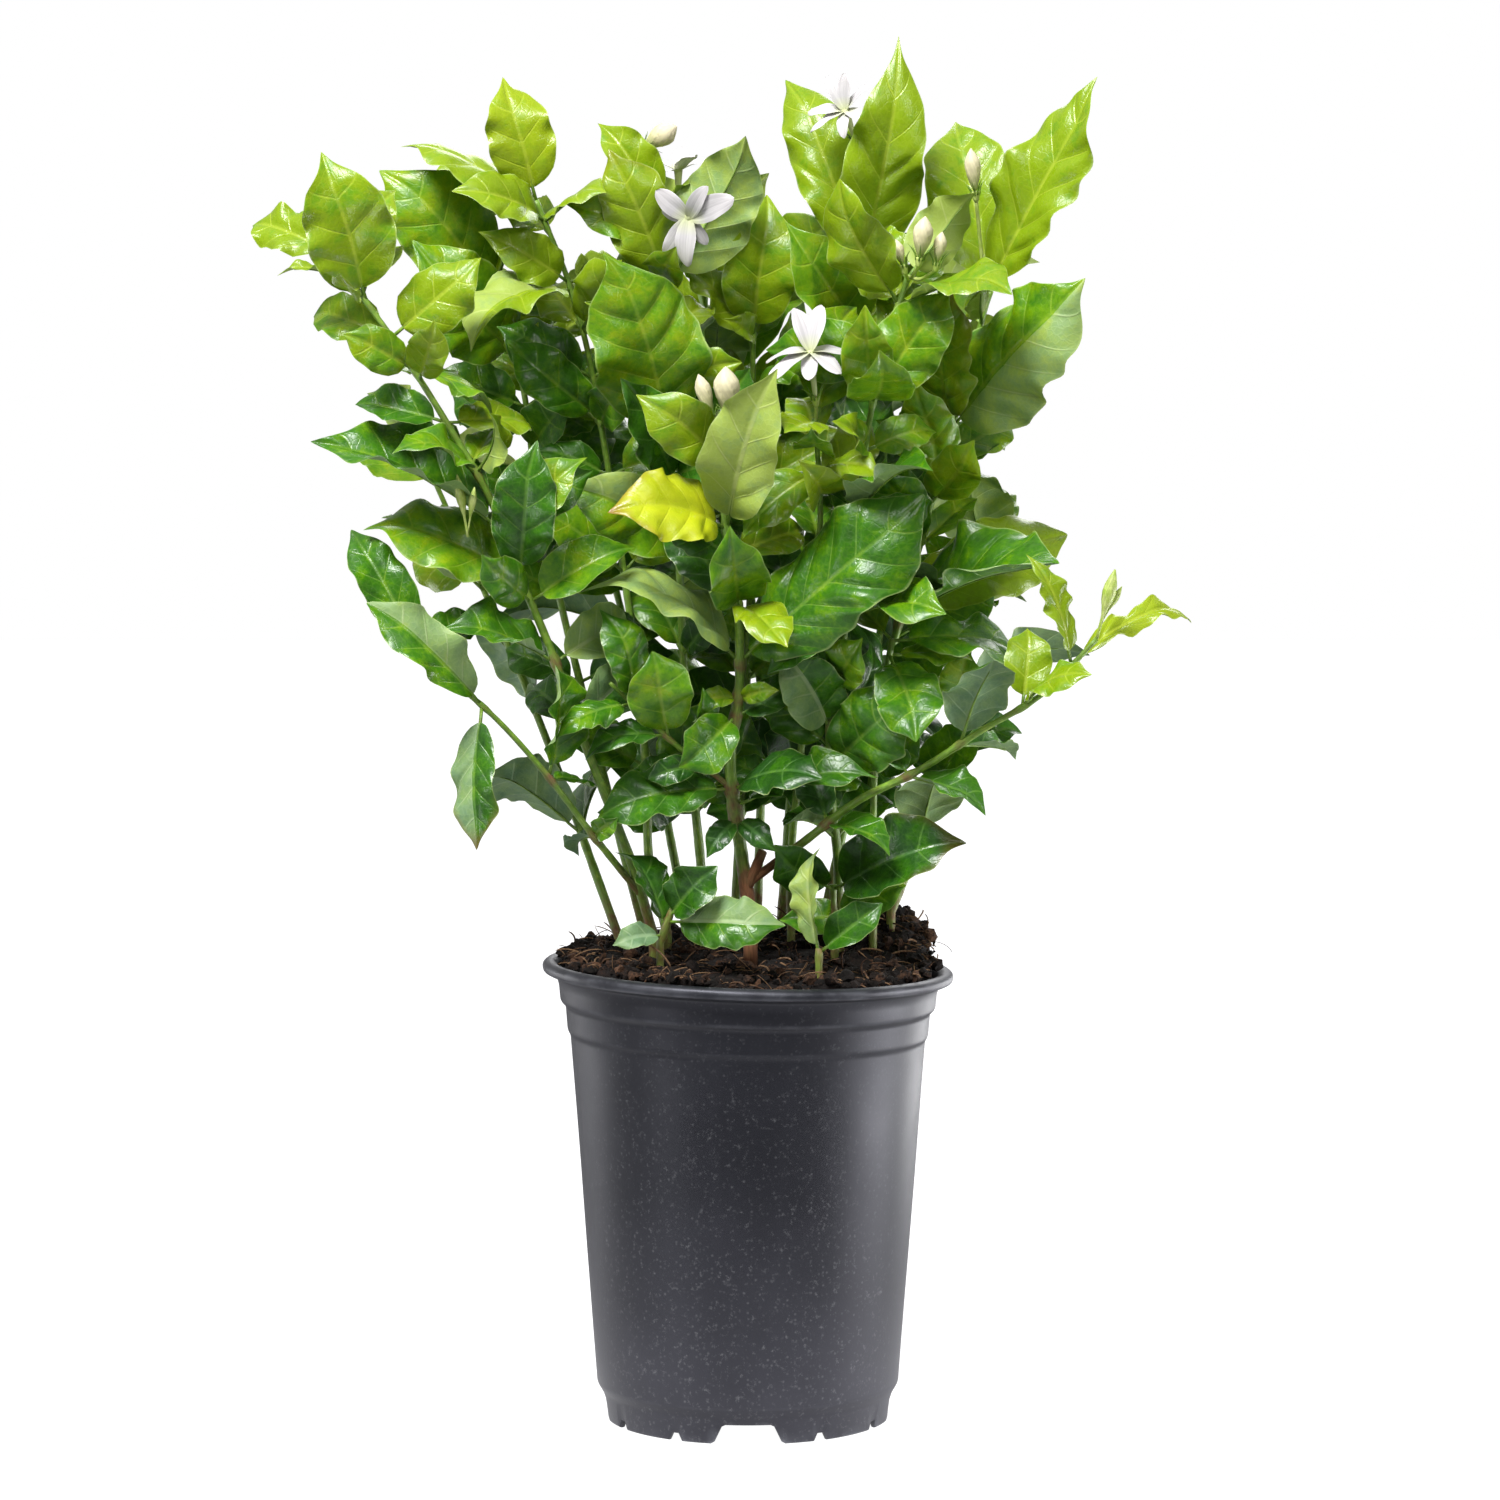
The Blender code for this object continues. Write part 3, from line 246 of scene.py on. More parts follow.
class Patchwork:
    """Strips of points, joined into one mesh. A strip is (rows, columns, 3), in millimetres."""

    def __init__(self):
        self.strips = []

    def add(self, strip, notes, slot=0, loop=False, under=False):
        """Adds a strip, with notes of three numbers at each point. A loop joins its last column
        to its first one, and is closed at both ends. A strip that is under another faces down, and
        its squares split into the same triangles, so that the two never cross."""
        self.strips.append((np.asarray(strip, float), notes, slot, loop, under))

    def charts(self):
        """Lower left corner and size of each strip's place on the map, all in a unit square."""
        sizes = []
        for strip, _, _, loop, _ in self.strips:
            across = np.concatenate([strip, strip[:, :1]], axis=1) if loop else strip
            width = np.linalg.norm(np.diff(across, axis=1), axis=2).sum(1).mean()
            height = np.linalg.norm(np.diff(strip, axis=0), axis=2).sum(0).mean()
            sizes.append((width, height))
        room = sum((w + MAP_MARGIN_MM) * (h + MAP_MARGIN_MM) for w, h in sizes)
        side = max(1.03 * math.sqrt(room), max(w for w, _ in sizes) + MAP_MARGIN_MM)
        corners = [None] * len(sizes)
        x = y = shelf = 0.0
        for index in sorted(range(len(sizes)), key=lambda k: -sizes[k][1]):
            width, height = sizes[index]
            if x + width > side:
                x, y, shelf = 0.0, y + shelf, 0.0
            corners[index] = (x, y)
            x += width + MAP_MARGIN_MM
            shelf = max(shelf, height + MAP_MARGIN_MM)
        scale = 1.0 / max(side + MAP_MARGIN_MM, y + shelf)
        return [(a * scale, b * scale, w * scale, h * scale) for (a, b), (w, h) in zip(corners, sizes)]

    def build(self, name, materials):
        """One object from all the strips."""
        points, slots, corners, sizes, flat = [], [], [], [], []
        notes = {note: [] for note in self.strips[0][1]}
        start = 0
        for (strip, its_notes, slot, loop, under), (u, v, wide, high) in zip(self.strips, self.charts()):
            rows, columns = strip.shape[:2]
            ids = start + np.arange(rows * columns).reshape(rows, columns)
            start += rows * columns
            points.append(strip.reshape(-1, 3))
            for note, kept in notes.items():
                kept.append(np.broadcast_to(its_notes[note], strip.shape).reshape(-1, 3))
            ends = [ids[0, ::-1], ids[-1]] if loop else []
            ids = np.concatenate([ids, ids[:, :1]], axis=1) if loop else ids
            grid_u = np.broadcast_to(u + wide * np.linspace(0, 1, ids.shape[1]), ids.shape)
            grid_v = np.broadcast_to((v + high * np.linspace(0, 1, rows))[:, None], ids.shape)
            for values, kept in ((ids, corners), (grid_u, flat), (grid_v, flat)):
                quads = [values[:-1, :-1], values[:-1, 1:], values[1:, 1:], values[1:, :-1]]
                quads = quads[:1] + quads[:0:-1] if under else quads
                kept.append(np.stack(quads, axis=2).ravel())
            flat[-2:] = [np.stack(flat[-2:], axis=1)]
            count = (rows - 1) * (ids.shape[1] - 1)
            sizes.append(np.full(count, 4))
            for ring, level in zip(ends, (v, v + high)):
                corners.append(ring)
                turn = np.linspace(0, 2 * np.pi, columns, endpoint=False)
                flat.append(np.stack([u + wide * (0.5 + 0.1 * np.cos(turn)),
                                      level + 0.1 * wide * np.sin(turn)], axis=1))
                sizes.append(np.array([columns]))
            slots.append(np.full(count + len(ends), slot))
        corners, sizes = np.concatenate(corners), np.concatenate(sizes)
        mesh = bpy.data.meshes.new(name)
        mesh.vertices.add(start)
        mesh.vertices.foreach_set("co", (np.concatenate(points) * METRES).ravel())
        mesh.loops.add(len(corners))
        mesh.loops.foreach_set("vertex_index", corners.astype(np.int32))
        mesh.polygons.add(len(sizes))
        mesh.polygons.foreach_set("loop_start", (np.cumsum(sizes) - sizes).astype(np.int32))
        mesh.polygons.foreach_set("material_index", np.concatenate(slots).astype(np.int32))
        mesh.update(calc_edges=True)
        mesh.shade_smooth()
        for note, kept in notes.items():
            attribute = mesh.attributes.new(note, "FLOAT_VECTOR", "POINT")
            attribute.data.foreach_set("vector", np.concatenate(kept).astype(np.float32).ravel())
        layer = mesh.uv_layers.new(name="OFBake")
        layer.data.foreach_set("uv", np.concatenate(flat).astype(np.float32).ravel())
        for material in materials:
            mesh.materials.append(material)
        piece = bpy.data.objects.new(name, mesh)
        bpy.context.scene.collection.objects.link(piece)
        return piece


def place(piece, slot, *nodes):
    """The piece rides on the plant's one body and stands for the given solids."""
    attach(piece, "root")
    if nodes:
        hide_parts(*nodes)


def smooth_share(value, low, high):
    """0 below low, 1 above high, and an even rise between them."""
    share = np.clip((value - low) / (high - low), 0, 1)
    return share * share * (3 - 2 * share)


print("map margin mm:", MAP_MARGIN_MM)

# %% [markdown]
# ## The pot
# A 17 cm nursery pot is thin polypropylene, moulded in one shot: a flared rim to lift it by, a
# straight collar with a small ledge, a tapering wall, and a stepped foot with notches that let water
# out. It could be turned with the Screw modifier and cut by Booleans. Here the outline is turned
# in code, and the lower edge of the foot is lifted where the notches are, which keeps the mesh in
# clean rows. Only the four drain holes are cut. The same sizes place the soil and keep the leaves
# off the rim.

# %% Sizes of the pot and the soil
POT_SIDES = 32
POT_WALL = 1.3
POT_SKIN = [  # radius and height down the outer side, from the top of the rim to the foot
    (84.2, 190.8), (86.0, 189.2), (85.6, 186.4), (80.2, 184.8), (79.0, 181.0), (78.4, 174.5),
    (76.2, 172.5), (75.4, 162.5), (74.2, 160.5), (63.4, 15.0), (61.0, 11.0), (60.0, 0.0),
]
POT_RIM_CREST = [(82.0, 191.0), (79.6, 189.6)]
POT_FLOOR = 9.0
POT_FOOT_WIDTH = 2.6
RIM_DROOP = 0.03
DROOP_START = 110.0
NOTCH_HEIGHT = 8.0
NOTCH_WIDTH = 20.0
SMALL_NOTCH = 4.0
SMALL_NOTCH_TURNS = (30, 60)
NOTCH_FLARE = 1.7
FLOOR_HOLE = 9.0
FLOOR_HOLE_CIRCLE = 34.0
SOIL_GAP = 0.4
SOIL_RINGS = (22, 44, 64)
SOIL_LEVEL = 191.0
SOIL_LUMPS = 2.6
SOIL_MOUNDS = [(50, 30, 22, 27), (-25, 30, 6, 34), (8, -66, -5, 9)]  # x, y, height, spread
HOLE_DEPTH = 20.0
FOOT_RISE = 5.0
print("pot mm:", 2 * POT_SKIN[1][0], "wide,", POT_RIM_CREST[0][1], "tall")

# %% Outline of the pot
CORNER_RADIUS = 1.2
CORNER_STEPS = 3
LONGEST_RUN = 9.0


def on_circle(radius, turn):
    """X and Y at a turn round the pot's axis."""
    return radius * math.cos(turn), radius * math.sin(turn)


def droop(point):
    """The soft rim of the pot hangs a little towards +X, with the soil that it holds."""
    share = min(1.0, max(0.0, (point.z - DROOP_START) / (POT_SKIN[0][1] - DROOP_START)))
    return point - Vector((0, 0, RIM_DROOP * point.x * share))


def pot_outline():
    """Closed outline of the pot's wall: down the outer side, under the floor and up the inside."""
    foot_radius = POT_SKIN[-1][0] - POT_FOOT_WIDTH
    under = [(foot_radius, 0.0), (foot_radius - 0.5, POT_FLOOR), (0.0, POT_FLOOR)]
    inside = [(0.0, POT_FLOOR + POT_WALL)] + inner_wall()
    return POT_RIM_CREST[::-1] + POT_SKIN + under + inside


def inner_wall():
    """The inner side of the wall, from the floor up to under the rim."""
    floor = POT_FLOOR + POT_WALL
    neck, shoulder, body_top, foot_top = POT_SKIN[4], POT_SKIN[6], POT_SKIN[8], POT_SKIN[10]
    return [(foot_top[0] - POT_WALL, floor)] + [
        (radius - POT_WALL, height) for radius, height in (body_top, shoulder, neck)
    ]


def lathe_solid(profile, sides):
    """Solid turned about Z from a closed outline, with the rim's droop."""
    verts, rings = [], []
    for radius, height in profile:
        count = 1 if radius == 0 else sides
        rings.append(range(len(verts), len(verts) + count))
        for k in range(count):
            point = Vector((*on_circle(radius, 2 * math.pi * k / sides), height))
            verts.append(droop(point))
    faces = []
    for upper, lower in zip(rings, rings[1:] + rings[:1]):
        for k in range(sides):
            corners = (
                upper[k % len(upper)], lower[k % len(lower)],
                lower[(k + 1) % len(lower)], upper[(k + 1) % len(upper)],
            )
            face = tuple(dict.fromkeys(corners))
            if len(face) > 2:
                faces.append(face)
    return verts, faces


def rounded(profile, radius, steps):
    """The closed outline with each corner rounded off."""
    points = [Vector(point) for point in profile]
    soft = []
    for before, corner, after in zip(points[-1:] + points[:-1], points, points[1:] + points[:1]):
        if corner.x == 0:
            soft.append(tuple(corner))
            continue
        cut = [min(radius, 0.42 * (side - corner).length) for side in (before, after)]
        start = corner + (before - corner).normalized() * cut[0]
        stop = corner + (after - corner).normalized() * cut[1]
        for step in range(steps + 1):
            t = step / steps
            soft.append(tuple(start * (1 - t) ** 2 + corner * (2 * t * (1 - t)) + stop * t * t))
    return soft


def dense(profile, longest):
    """The outline with its long runs split up."""
    points = []
    for a, b in zip(profile, profile[1:] + profile[:1]):
        a, b = Vector(a), Vector(b)
        spans = max(1, math.ceil((b - a).length / longest))
        points += [tuple(a + (b - a) * (k / spans)) for k in range(spans)]
    return points


FINE_OUTLINE = dense(rounded(pot_outline(), CORNER_RADIUS, CORNER_STEPS), LONGEST_RUN)
print("outline points:", len(FINE_OUTLINE))

# %% Wall of the pot
POT_COLUMNS = 240
FOOT_STEP = 11.0
FOOT_RIM = 1.5
DENT_MM = 0.35
DENT_WAVES = 1.3
DENT_LENGTH = 70


def notch_level(turn):
    """How far the foot's lower edge is lifted at a turn round the pot."""
    foot = POT_SKIN[-1][0]
    level = np.zeros_like(turn)
    notches = [(0, NOTCH_WIDTH, NOTCH_HEIGHT)]
    notches += [(offset, SMALL_NOTCH, SMALL_NOTCH * 0.8) for offset in SMALL_NOTCH_TURNS]
    for quarter in range(4):
        for offset, width, height in notches:
            centre = math.radians(-90 + 90 * quarter + offset)
            away = np.abs((turn - centre + np.pi) % (2 * np.pi) - np.pi) * foot
            slope = width / 2 * (NOTCH_FLARE - 1) * 0.75
            level = np.maximum(level, height * smooth_share(-away, -width / 2 - slope, -width / 2))
    return level


def pot_wall():
    """The whole pot as one closed strip: its outline at each turn."""
    profile = np.array(FINE_OUTLINE)
    turn = np.linspace(0, 2 * np.pi, POT_COLUMNS, endpoint=False)
    shape = (len(profile), POT_COLUMNS)
    radius, height = (np.broadcast_to(column[:, None], shape) for column in profile.T)
    lift = notch_level(turn)[None, :]
    outer = radius > POT_SKIN[-1][0] - POT_FOOT_WIDTH - FOOT_RIM
    height = np.where(outer & (height < FOOT_STEP), lift + height * (1 - lift / FOOT_STEP), height)
    dents = np.array([[noise.noise(Vector((*on_circle(DENT_WAVES, a), z / DENT_LENGTH))) for a in turn]
                      for z in profile[:, 1]])
    radius = radius + DENT_MM * dents * smooth_share(radius, 20, 55)
    strip = np.stack([radius * np.cos(turn), radius * np.sin(turn), height], axis=2)
    sag = np.clip((strip[..., 2] - DROOP_START) / (POT_SKIN[0][1] - DROOP_START), 0, 1)
    strip[..., 2] -= RIM_DROOP * strip[..., 0] * sag
    return strip


pot_strip = pot_wall()
print("pot points:", pot_strip.shape[:2])

# %% [markdown]
# ### Polypropylene
# Recycled black polypropylene is charcoal rather than black, with a satin skin straight from the
# mould. It gives broad, soft highlights. Handling scuffs its rim and ledges pale, and peat dust
# leaves pale specks and smears. Near its foot the wall is also painted paler in cloudy patches,
# a painted bounce light for the light that the lit floor throws back up.

# %% Finish of the pot
SAME_POINT = 1e-6
DRILL_LENGTH = 0.008


def pot_finish():
    """Moulded charcoal polypropylene: satin, scuffed on its edges, dusty low down, with painted bounce light
    near its foot.
    """
    material, tree = new_material("moulded_charcoal_polypropylene")
    place = add_node(tree, "TexCoord", output="Object")
    height = add_node(tree, "SeparateXYZ", {0: place}, output="Z")
    stretched = add_node(tree, "Mapping", {"Vector": place, "Scale": (1.0, 1.0, 0.12)})
    cloud = clouds(tree, place, 22.0, 5.0)
    flow = clouds(tree, stretched, 120.0, 4.0)
    tint = ramp(tree, cloud, (0.3, "0A0B0F"), (0.7, "121318"))
    streak = mapped(tree, flow, 0.52, 0.78, 0.0, 0.1)
    wall = blend(tree, streak, tint, "2A2A30")
    # Painted bounce light: the wall is painted paler towards its foot, in cloudy patches, for the light that
    # the floor throws back up.
    painted_bounce_by_height = mapped(tree, height, 0.105, 0.015, 0.0, 0.28)
    painted_bounce = mapped(tree, cloud, 0.3, 0.7, 0.55, 1.0)
    painted_bounce = maths(tree, "MULTIPLY", painted_bounce, painted_bounce_by_height)
    wall = blend(tree, painted_bounce, wall, "55545C")
    speck = add_node(tree, "TexVoronoi", {"Vector": place, "Scale": 620.0}, output="Distance")
    chosen = add_node(tree, "TexVoronoi", {"Vector": place, "Scale": 620.0}, output="Color")
    draw = add_node(tree, "SeparateXYZ", {0: chosen}, output="X")
    few = mapped(tree, draw, 0.8, 1.0, 0.0, 1.0)
    size = mapped(tree, speck, 0.1, 0.45, 0.2, 0.0)
    mist = clouds(tree, place, 380.0, 7.0, 0.8)
    mist = mapped(tree, mist, 0.56, 0.74, 0.0, 0.4)
    low = mapped(tree, height, 0.19, 0.03, 0.3, 1.0)
    dust = maths(tree, "MULTIPLY", few, size)
    dust = maths(tree, "MAXIMUM", dust, mist)
    dust = maths(tree, "MULTIPLY", dust, low)
    dusty = blend(tree, dust, wall, "9A9B9E")
    edge = add_node(tree, "NewGeometry", output="Pointiness")
    worn = mapped(tree, edge, 0.51, 0.55, 0.0, 0.5)
    rubbed = clouds(tree, place, 90.0, 4.0)
    patchy = mapped(tree, rubbed, 0.38, 0.62, 0.1, 1.0)
    scuff = maths(tree, "MULTIPLY", worn, patchy)
    colour = blend(tree, scuff, dusty, "808289")
    satin = mapped(tree, cloud, 0.3, 0.7, 0.4, 0.52)
    rough = maths(tree, "ADD", satin, dust)
    grain = clouds(tree, place, 900.0, 2.0)
    bump = add_node(tree, "Bump", {"Height": grain, "Strength": 0.25, "Distance": 0.0001})
    skin = add_node(tree, "BsdfPrincipled", {
        "Base Color": colour, "Roughness": rough, "IOR": 1.49, "Specular Tint": linear("F1F1FF"),
        "Normal": bump})
    add_node(tree, "OutputMaterial", {"Surface": skin})
    return material


def turned_object(name, strip, material):
    """Closed object from a strip that joins up both ways round."""
    rows, columns = strip.shape[:2]
    ids = np.arange(rows * columns).reshape(rows, columns)
    beside, below = np.roll(ids, -1, axis=1), np.roll(ids, -1, axis=0)
    opposite = np.roll(beside, -1, axis=0)
    faces = np.stack([ids, beside, opposite, below], axis=2).reshape(-1, 4)
    mesh = bpy.data.meshes.new(name)
    mesh.from_pydata(strip.reshape(-1, 3) * METRES, [], faces.tolist())
    shape = bmesh.new()
    shape.from_mesh(mesh)
    bmesh.ops.remove_doubles(shape, verts=shape.verts, dist=SAME_POINT)
    bmesh.ops.recalc_face_normals(shape, faces=shape.faces)
    shape.to_mesh(mesh)
    shape.free()
    mesh.shade_smooth()
    mesh.materials.append(material)
    piece = bpy.data.objects.new(name, mesh)
    bpy.context.scene.collection.objects.link(piece)
    return piece


pot = turned_object("pot_wall", pot_strip, pot_finish())
drills = []
for quarter in range(4):
    x, y = on_circle(FLOOR_HOLE_CIRCLE, math.radians(-90 + 90 * quarter))
    bpy.ops.mesh.primitive_cylinder_add(
        vertices=32, radius=FLOOR_HOLE / 2 * METRES, depth=DRILL_LENGTH,
        location=(x * METRES, y * METRES, POT_FLOOR * METRES))
    drills.append(bpy.context.object)
    cut = pot.modifiers.new("drain_hole", "BOOLEAN")
    cut.object = drills[-1]
pot.data = bpy.data.meshes.new_from_object(pot.evaluated_get(bpy.context.evaluated_depsgraph_get()))
pot.modifiers.clear()
for drill in drills:
    bpy.data.objects.remove(drill, do_unlink=True)
place(pot, "pot_plastic", "pot")
print("pot faces:", len(pot.data.polygons))

# %% [markdown]
# ## The peat
# Potting peat is a springy mass of dark crumbs, matted fibres and bits of bark, heaped a little
# higher at the back right where it was pressed round the roots. A bump map can't break its outline
# against the pale sky, so the bed is a lumpy mesh and real crumbs, fibres and chips lie on it.

# %% Bed of peat
BED_COLUMNS = 190
BED_RINGS = 64
FINE_LUMPS = ((4.2, 8.1, 1.5), (1.7, 2.2, 0.7))  # size, place in the noise, and height


def lumps(x, y, size, level):
    """Noise over the peat, in lumps of about a size."""
    return noise.noise(Vector((x / size, y / size, level)))


def soil_height(x, y):
    """Height of the soil, with its heaps and lumps, before the rim's droop."""
    height = SOIL_LEVEL
    for centre_x, centre_y, rise, spread in SOIL_MOUNDS:
        height += rise * math.exp(-((x - centre_x) ** 2 + (y - centre_y) ** 2) / (2 * spread ** 2))
    return height + SOIL_LUMPS * lumps(x, y, 11, 3.7)


def soil_solid():
    """The filling: a lumpy top, sides that follow the pot's wall, and a flat bottom on its floor."""
    wall = [(radius - SOIL_GAP, height) for radius, height in inner_wall()]
    wall[0] = (wall[0][0], wall[0][1] + SOIL_GAP)
    edge_radius = wall[-1][0]
    profile = [(0.0, None)] + [(radius, None) for radius in SOIL_RINGS] + [(edge_radius - 1.5, None)]
    profile += [(edge_radius, POT_SKIN[4][1] + 1.0)] + wall[-2::-1] + [(0.0, wall[0][1])]
    verts, faces = lathe_solid([(radius, height or 0.0) for radius, height in profile], POT_SIDES)
    lumpy = 1 + POT_SIDES * (len(SOIL_RINGS) + 1)
    for point in verts[:lumpy]:
        point.z = soil_height(point.x, point.y)
        point.z = droop(point).z
    return verts, faces


def rough_soil(x, y):
    """Height of the bed with its small lumps, the rim's droop counted in."""
    fine = sum(lumps(x, y, size, level) * high for size, level, high in FINE_LUMPS)
    return droop(Vector((x, y, soil_height(x, y) + fine))).z


def peat_bed():
    """The filling's closed skin, as one strip: a fine top, and plain sides and bottom."""
    edge_radius, edge_height = inner_wall()[-1]
    edge_radius -= SOIL_GAP
    turn = np.linspace(0, 2 * np.pi, BED_COLUMNS, endpoint=False)
    rows = []
    for radius in np.linspace(0, edge_radius - 1.0, BED_RINGS):
        ring = [on_circle(radius, a) for a in turn]
        rows.append([(x, y, rough_soil(x, y)) for x, y in ring])
    sides = [(edge_radius, edge_height + 1.0)]
    sides += [(radius - SOIL_GAP, height) for radius, height in inner_wall()[-2:0:-1]]
    floor_radius, floor_height = inner_wall()[0]
    sides += [(floor_radius - SOIL_GAP, floor_height + SOIL_GAP), (0.0, floor_height + SOIL_GAP)]
    for radius, height in sides:
        rows.append([tuple(droop(Vector((*on_circle(radius, a), height)))) for a in turn])
    return np.array(rows)


bed_strip = peat_bed()
print("bed mm:", bed_strip[:BED_RINGS, :, 2].min().round(1), "to", bed_strip[..., 2].max().round(1))

# %% Crumbs
CRUMBS = 2600
CRUMB_RADII = (0.55, 3.4)
FINE_CRUMB = 1.3  # rounder from this radius on
CHIP_RADII = (2.0, 4.2)
CHIP_HEIGHT = 0.16
ON_HEAP = 0.18  # share of the crumbs on the heap, and on the heap or by the rim
ON_HEAP_OR_RIM = 0.32
HEAP_SPREAD = (20, 22)
RIM_RING = (70, 79)
CHIPS = 46
PEAT_SEED = 5


def crumb_shape(detail):
    """Corners and faces of a round crumb of unit size."""
    shape = bmesh.new()
    bmesh.ops.create_icosphere(shape, subdivisions=detail, radius=1.0)
    corners = array(vert.co for vert in shape.verts)
    faces = np.array([[vert.index for vert in face.verts] for face in shape.faces])
    shape.free()
    return corners, faces


def turn_by(draw):
    """A random rotation."""
    axis = Vector((draw.gauss(0, 1), draw.gauss(0, 1), draw.gauss(0, 1))).normalized()
    return np.array(Matrix.Rotation(draw.uniform(0, 2 * math.pi), 3, axis))


def soil_spot(draw):
    """A random place on the peat, more often on its heap and along the rim."""
    kind = draw.random()
    edge = RIM_RING[1]
    if kind < ON_HEAP:
        heap_x, heap_y = SOIL_MOUNDS[0][:2]
        x, y = draw.gauss(heap_x, HEAP_SPREAD[0]), draw.gauss(heap_y - 12, HEAP_SPREAD[1])
    else:
        turn = draw.uniform(0, 2 * math.pi)
        radius = draw.uniform(*RIM_RING) if kind < ON_HEAP_OR_RIM else edge * math.sqrt(draw.random())
        x, y = on_circle(radius, turn)
    return (x, y) if math.hypot(x, y) < edge else (x * 0.6, y * 0.6)


def peat_crumbs(draw):
    """Points, faces and shades of all the crumbs and chips."""
    shapes = [crumb_shape(1), crumb_shape(2)]
    points, faces, shades, start = [], [], [], 0
    for index in range(CRUMBS + CHIPS):
        x, y = soil_spot(draw)
        low, high = CRUMB_RADII
        radius = low * (high / low) ** (draw.random() ** 2.2)
        squash = np.array([1.0, draw.uniform(0.6, 1.0), draw.uniform(0.5, 0.9)])
        if index >= CRUMBS:
            radius = draw.uniform(*CHIP_RADII)
            squash = np.array([1.0, draw.uniform(0.35, 0.7), CHIP_HEIGHT])
        corners, its_faces = shapes[radius > FINE_CRUMB]
        jitter = np.array([draw.uniform(0.72, 1.25) for _ in corners])[:, None]
        body = (corners * jitter * squash) @ turn_by(draw).T * radius
        body += (x, y, rough_soil(x, y) + radius * draw.uniform(0.0, 0.55))
        points.append(body)
        faces.append(its_faces + start)
        shades += [draw.random() * 0.8 + (0.35 if index >= CRUMBS else 0.0)] * len(corners)
        start += len(corners)
    return np.concatenate(points), np.concatenate(faces), np.array(shades)


print("crumbs and chips:", CRUMBS + CHIPS)

# %% [markdown]
# ### Peat
# Sphagnum peat is matt and drinks the light. Its crumbs run from near black to a warm red-brown,
# and its fibres and bark chips are paler. A shade kept with each crumb picks its colour, and a grain
# of about a millimetre breaks it up.

# %% Finish of the peat


def peat_finish(name, dark, middle, pale):
    """Matt brown peat, its shade read from each crumb."""
    material, tree = new_material(name)
    shade = add_node(tree, "Attribute", output="Fac", attribute_name="peat_shade")
    place = add_node(tree, "TexCoord", output="Object")
    grain = clouds(tree, place, 900.0, 4.0, 0.7)
    patch = clouds(tree, place, 130.0, 3.0)
    mixed = mapped(tree, grain, 0.3, 0.7, -0.28, 0.28)
    mixed = maths(tree, "ADD", mixed, shade)
    broad = mapped(tree, patch, 0.3, 0.7, -0.2, 0.25)
    mixed = maths(tree, "ADD", mixed, broad)
    colour = ramp(tree, mixed, (0.1, dark), (0.5, middle), (0.95, pale))
    bump = add_node(tree, "Bump", {"Height": grain, "Strength": 0.9, "Distance": 0.0006})
    earth = add_node(tree, "BsdfPrincipled", {
        "Base Color": colour, "Roughness": 0.95, "IOR": 1.35, "Normal": bump})
    add_node(tree, "OutputMaterial", {"Surface": earth})
    return material


def keep_shades(piece, shades):
    """Keeps a shade at each point of a piece for the peat's finish."""
    attribute = piece.data.attributes.new("peat_shade", "FLOAT", "POINT")
    attribute.data.foreach_set("value", np.asarray(shades, np.float32))


bed = turned_object("peat_bed", bed_strip, peat_finish("sphagnum_peat_bed", "080504", "150D09", "2C1C14"))
keep_shades(bed, [0.3 + 0.35 * noise.noise(vert.co * 140) for vert in bed.data.vertices])
place(bed, "peat", "soil")

draw = random.Random(PEAT_SEED)
crumb_points, crumb_faces, crumb_shades = peat_crumbs(draw)
crumb_mesh = bpy.data.meshes.new("peat_crumbs")
crumb_mesh.from_pydata(crumb_points * METRES, [], crumb_faces.tolist())
crumb_mesh.materials.append(peat_finish("sphagnum_peat_crumbs", "090503", "180F0A", "4E3626"))
crumbs = bpy.data.objects.new("peat_crumbs", crumb_mesh)
bpy.context.scene.collection.objects.link(crumbs)
keep_shades(crumbs, crumb_shades)
place(crumbs, "peat")
print("peat faces:", len(bed.data.polygons) + len(crumb_mesh.polygons))

# %% [markdown]
# ## The shoots
# A jasmine like this is several rooted cuttings in one pot. Each shoot is a thin, arching cane with
# its leaves in opposite pairs. The shoots that the eye can follow are listed one by one with their
# leaves, and a rule fills in the lower leaves and the back of the bush. Hair or particle systems
# could scatter leaves faster, but each leaf here has its own place in the solids.

# %% Shoots, flowers and buds
STEM_SIDES = 4
STEM_STEP = 32.0
BACK_GIRTH = (4.0, 2.0)
STALK_HALF_WIDTH = 0.8
STALK_SHARE = 0.13
STALK_LONGEST = 7.0
BLADE_THICKNESS = 0.9
HALF_WIDTHS = (0.275, 0.345)
ARCHES = (0.03, 0.12)
FOLDS = (13, 38)
WAVE_HEIGHTS = (0.03, 0.065)
WAVE_COUNTS = (1.5, 2.6)
WAVE_LAG = 2.2  # how far the waves of the right edge run behind those of the left one
MOST_TWIST = 40
MOST_CURL = 0.14
TAPERS = (0.74, 0.96)
LOW_BELOW = 335.0  # leaves that start below this height are broader and blunter
LOW_WIDTH = 1.04
LOW_TAPER = 0.8
WIDEST_AT = 0.55
MOST_CHANGE = 58
CLEARANCE = 1.3
STALK_CLEARANCE = 0.4  # room round a leaf with its stalk, to all but its own shoot
LEAF_SEED = 7
LOWER_LEAVES = (60, (30, 47), (0, -1, 0.7))  # spacing of pairs, reach and facing
BACK_LEAVES = (60, (50, 64), (0, 0.5, 0.8))
BACK_BARE = 0.22
LOBE_THICKNESS = 0.8
LOBE_CUTS = ((0.0, 0.06), (0.4, 0.17), (0.74, 0.15))  # place along a lobe, and half its width there
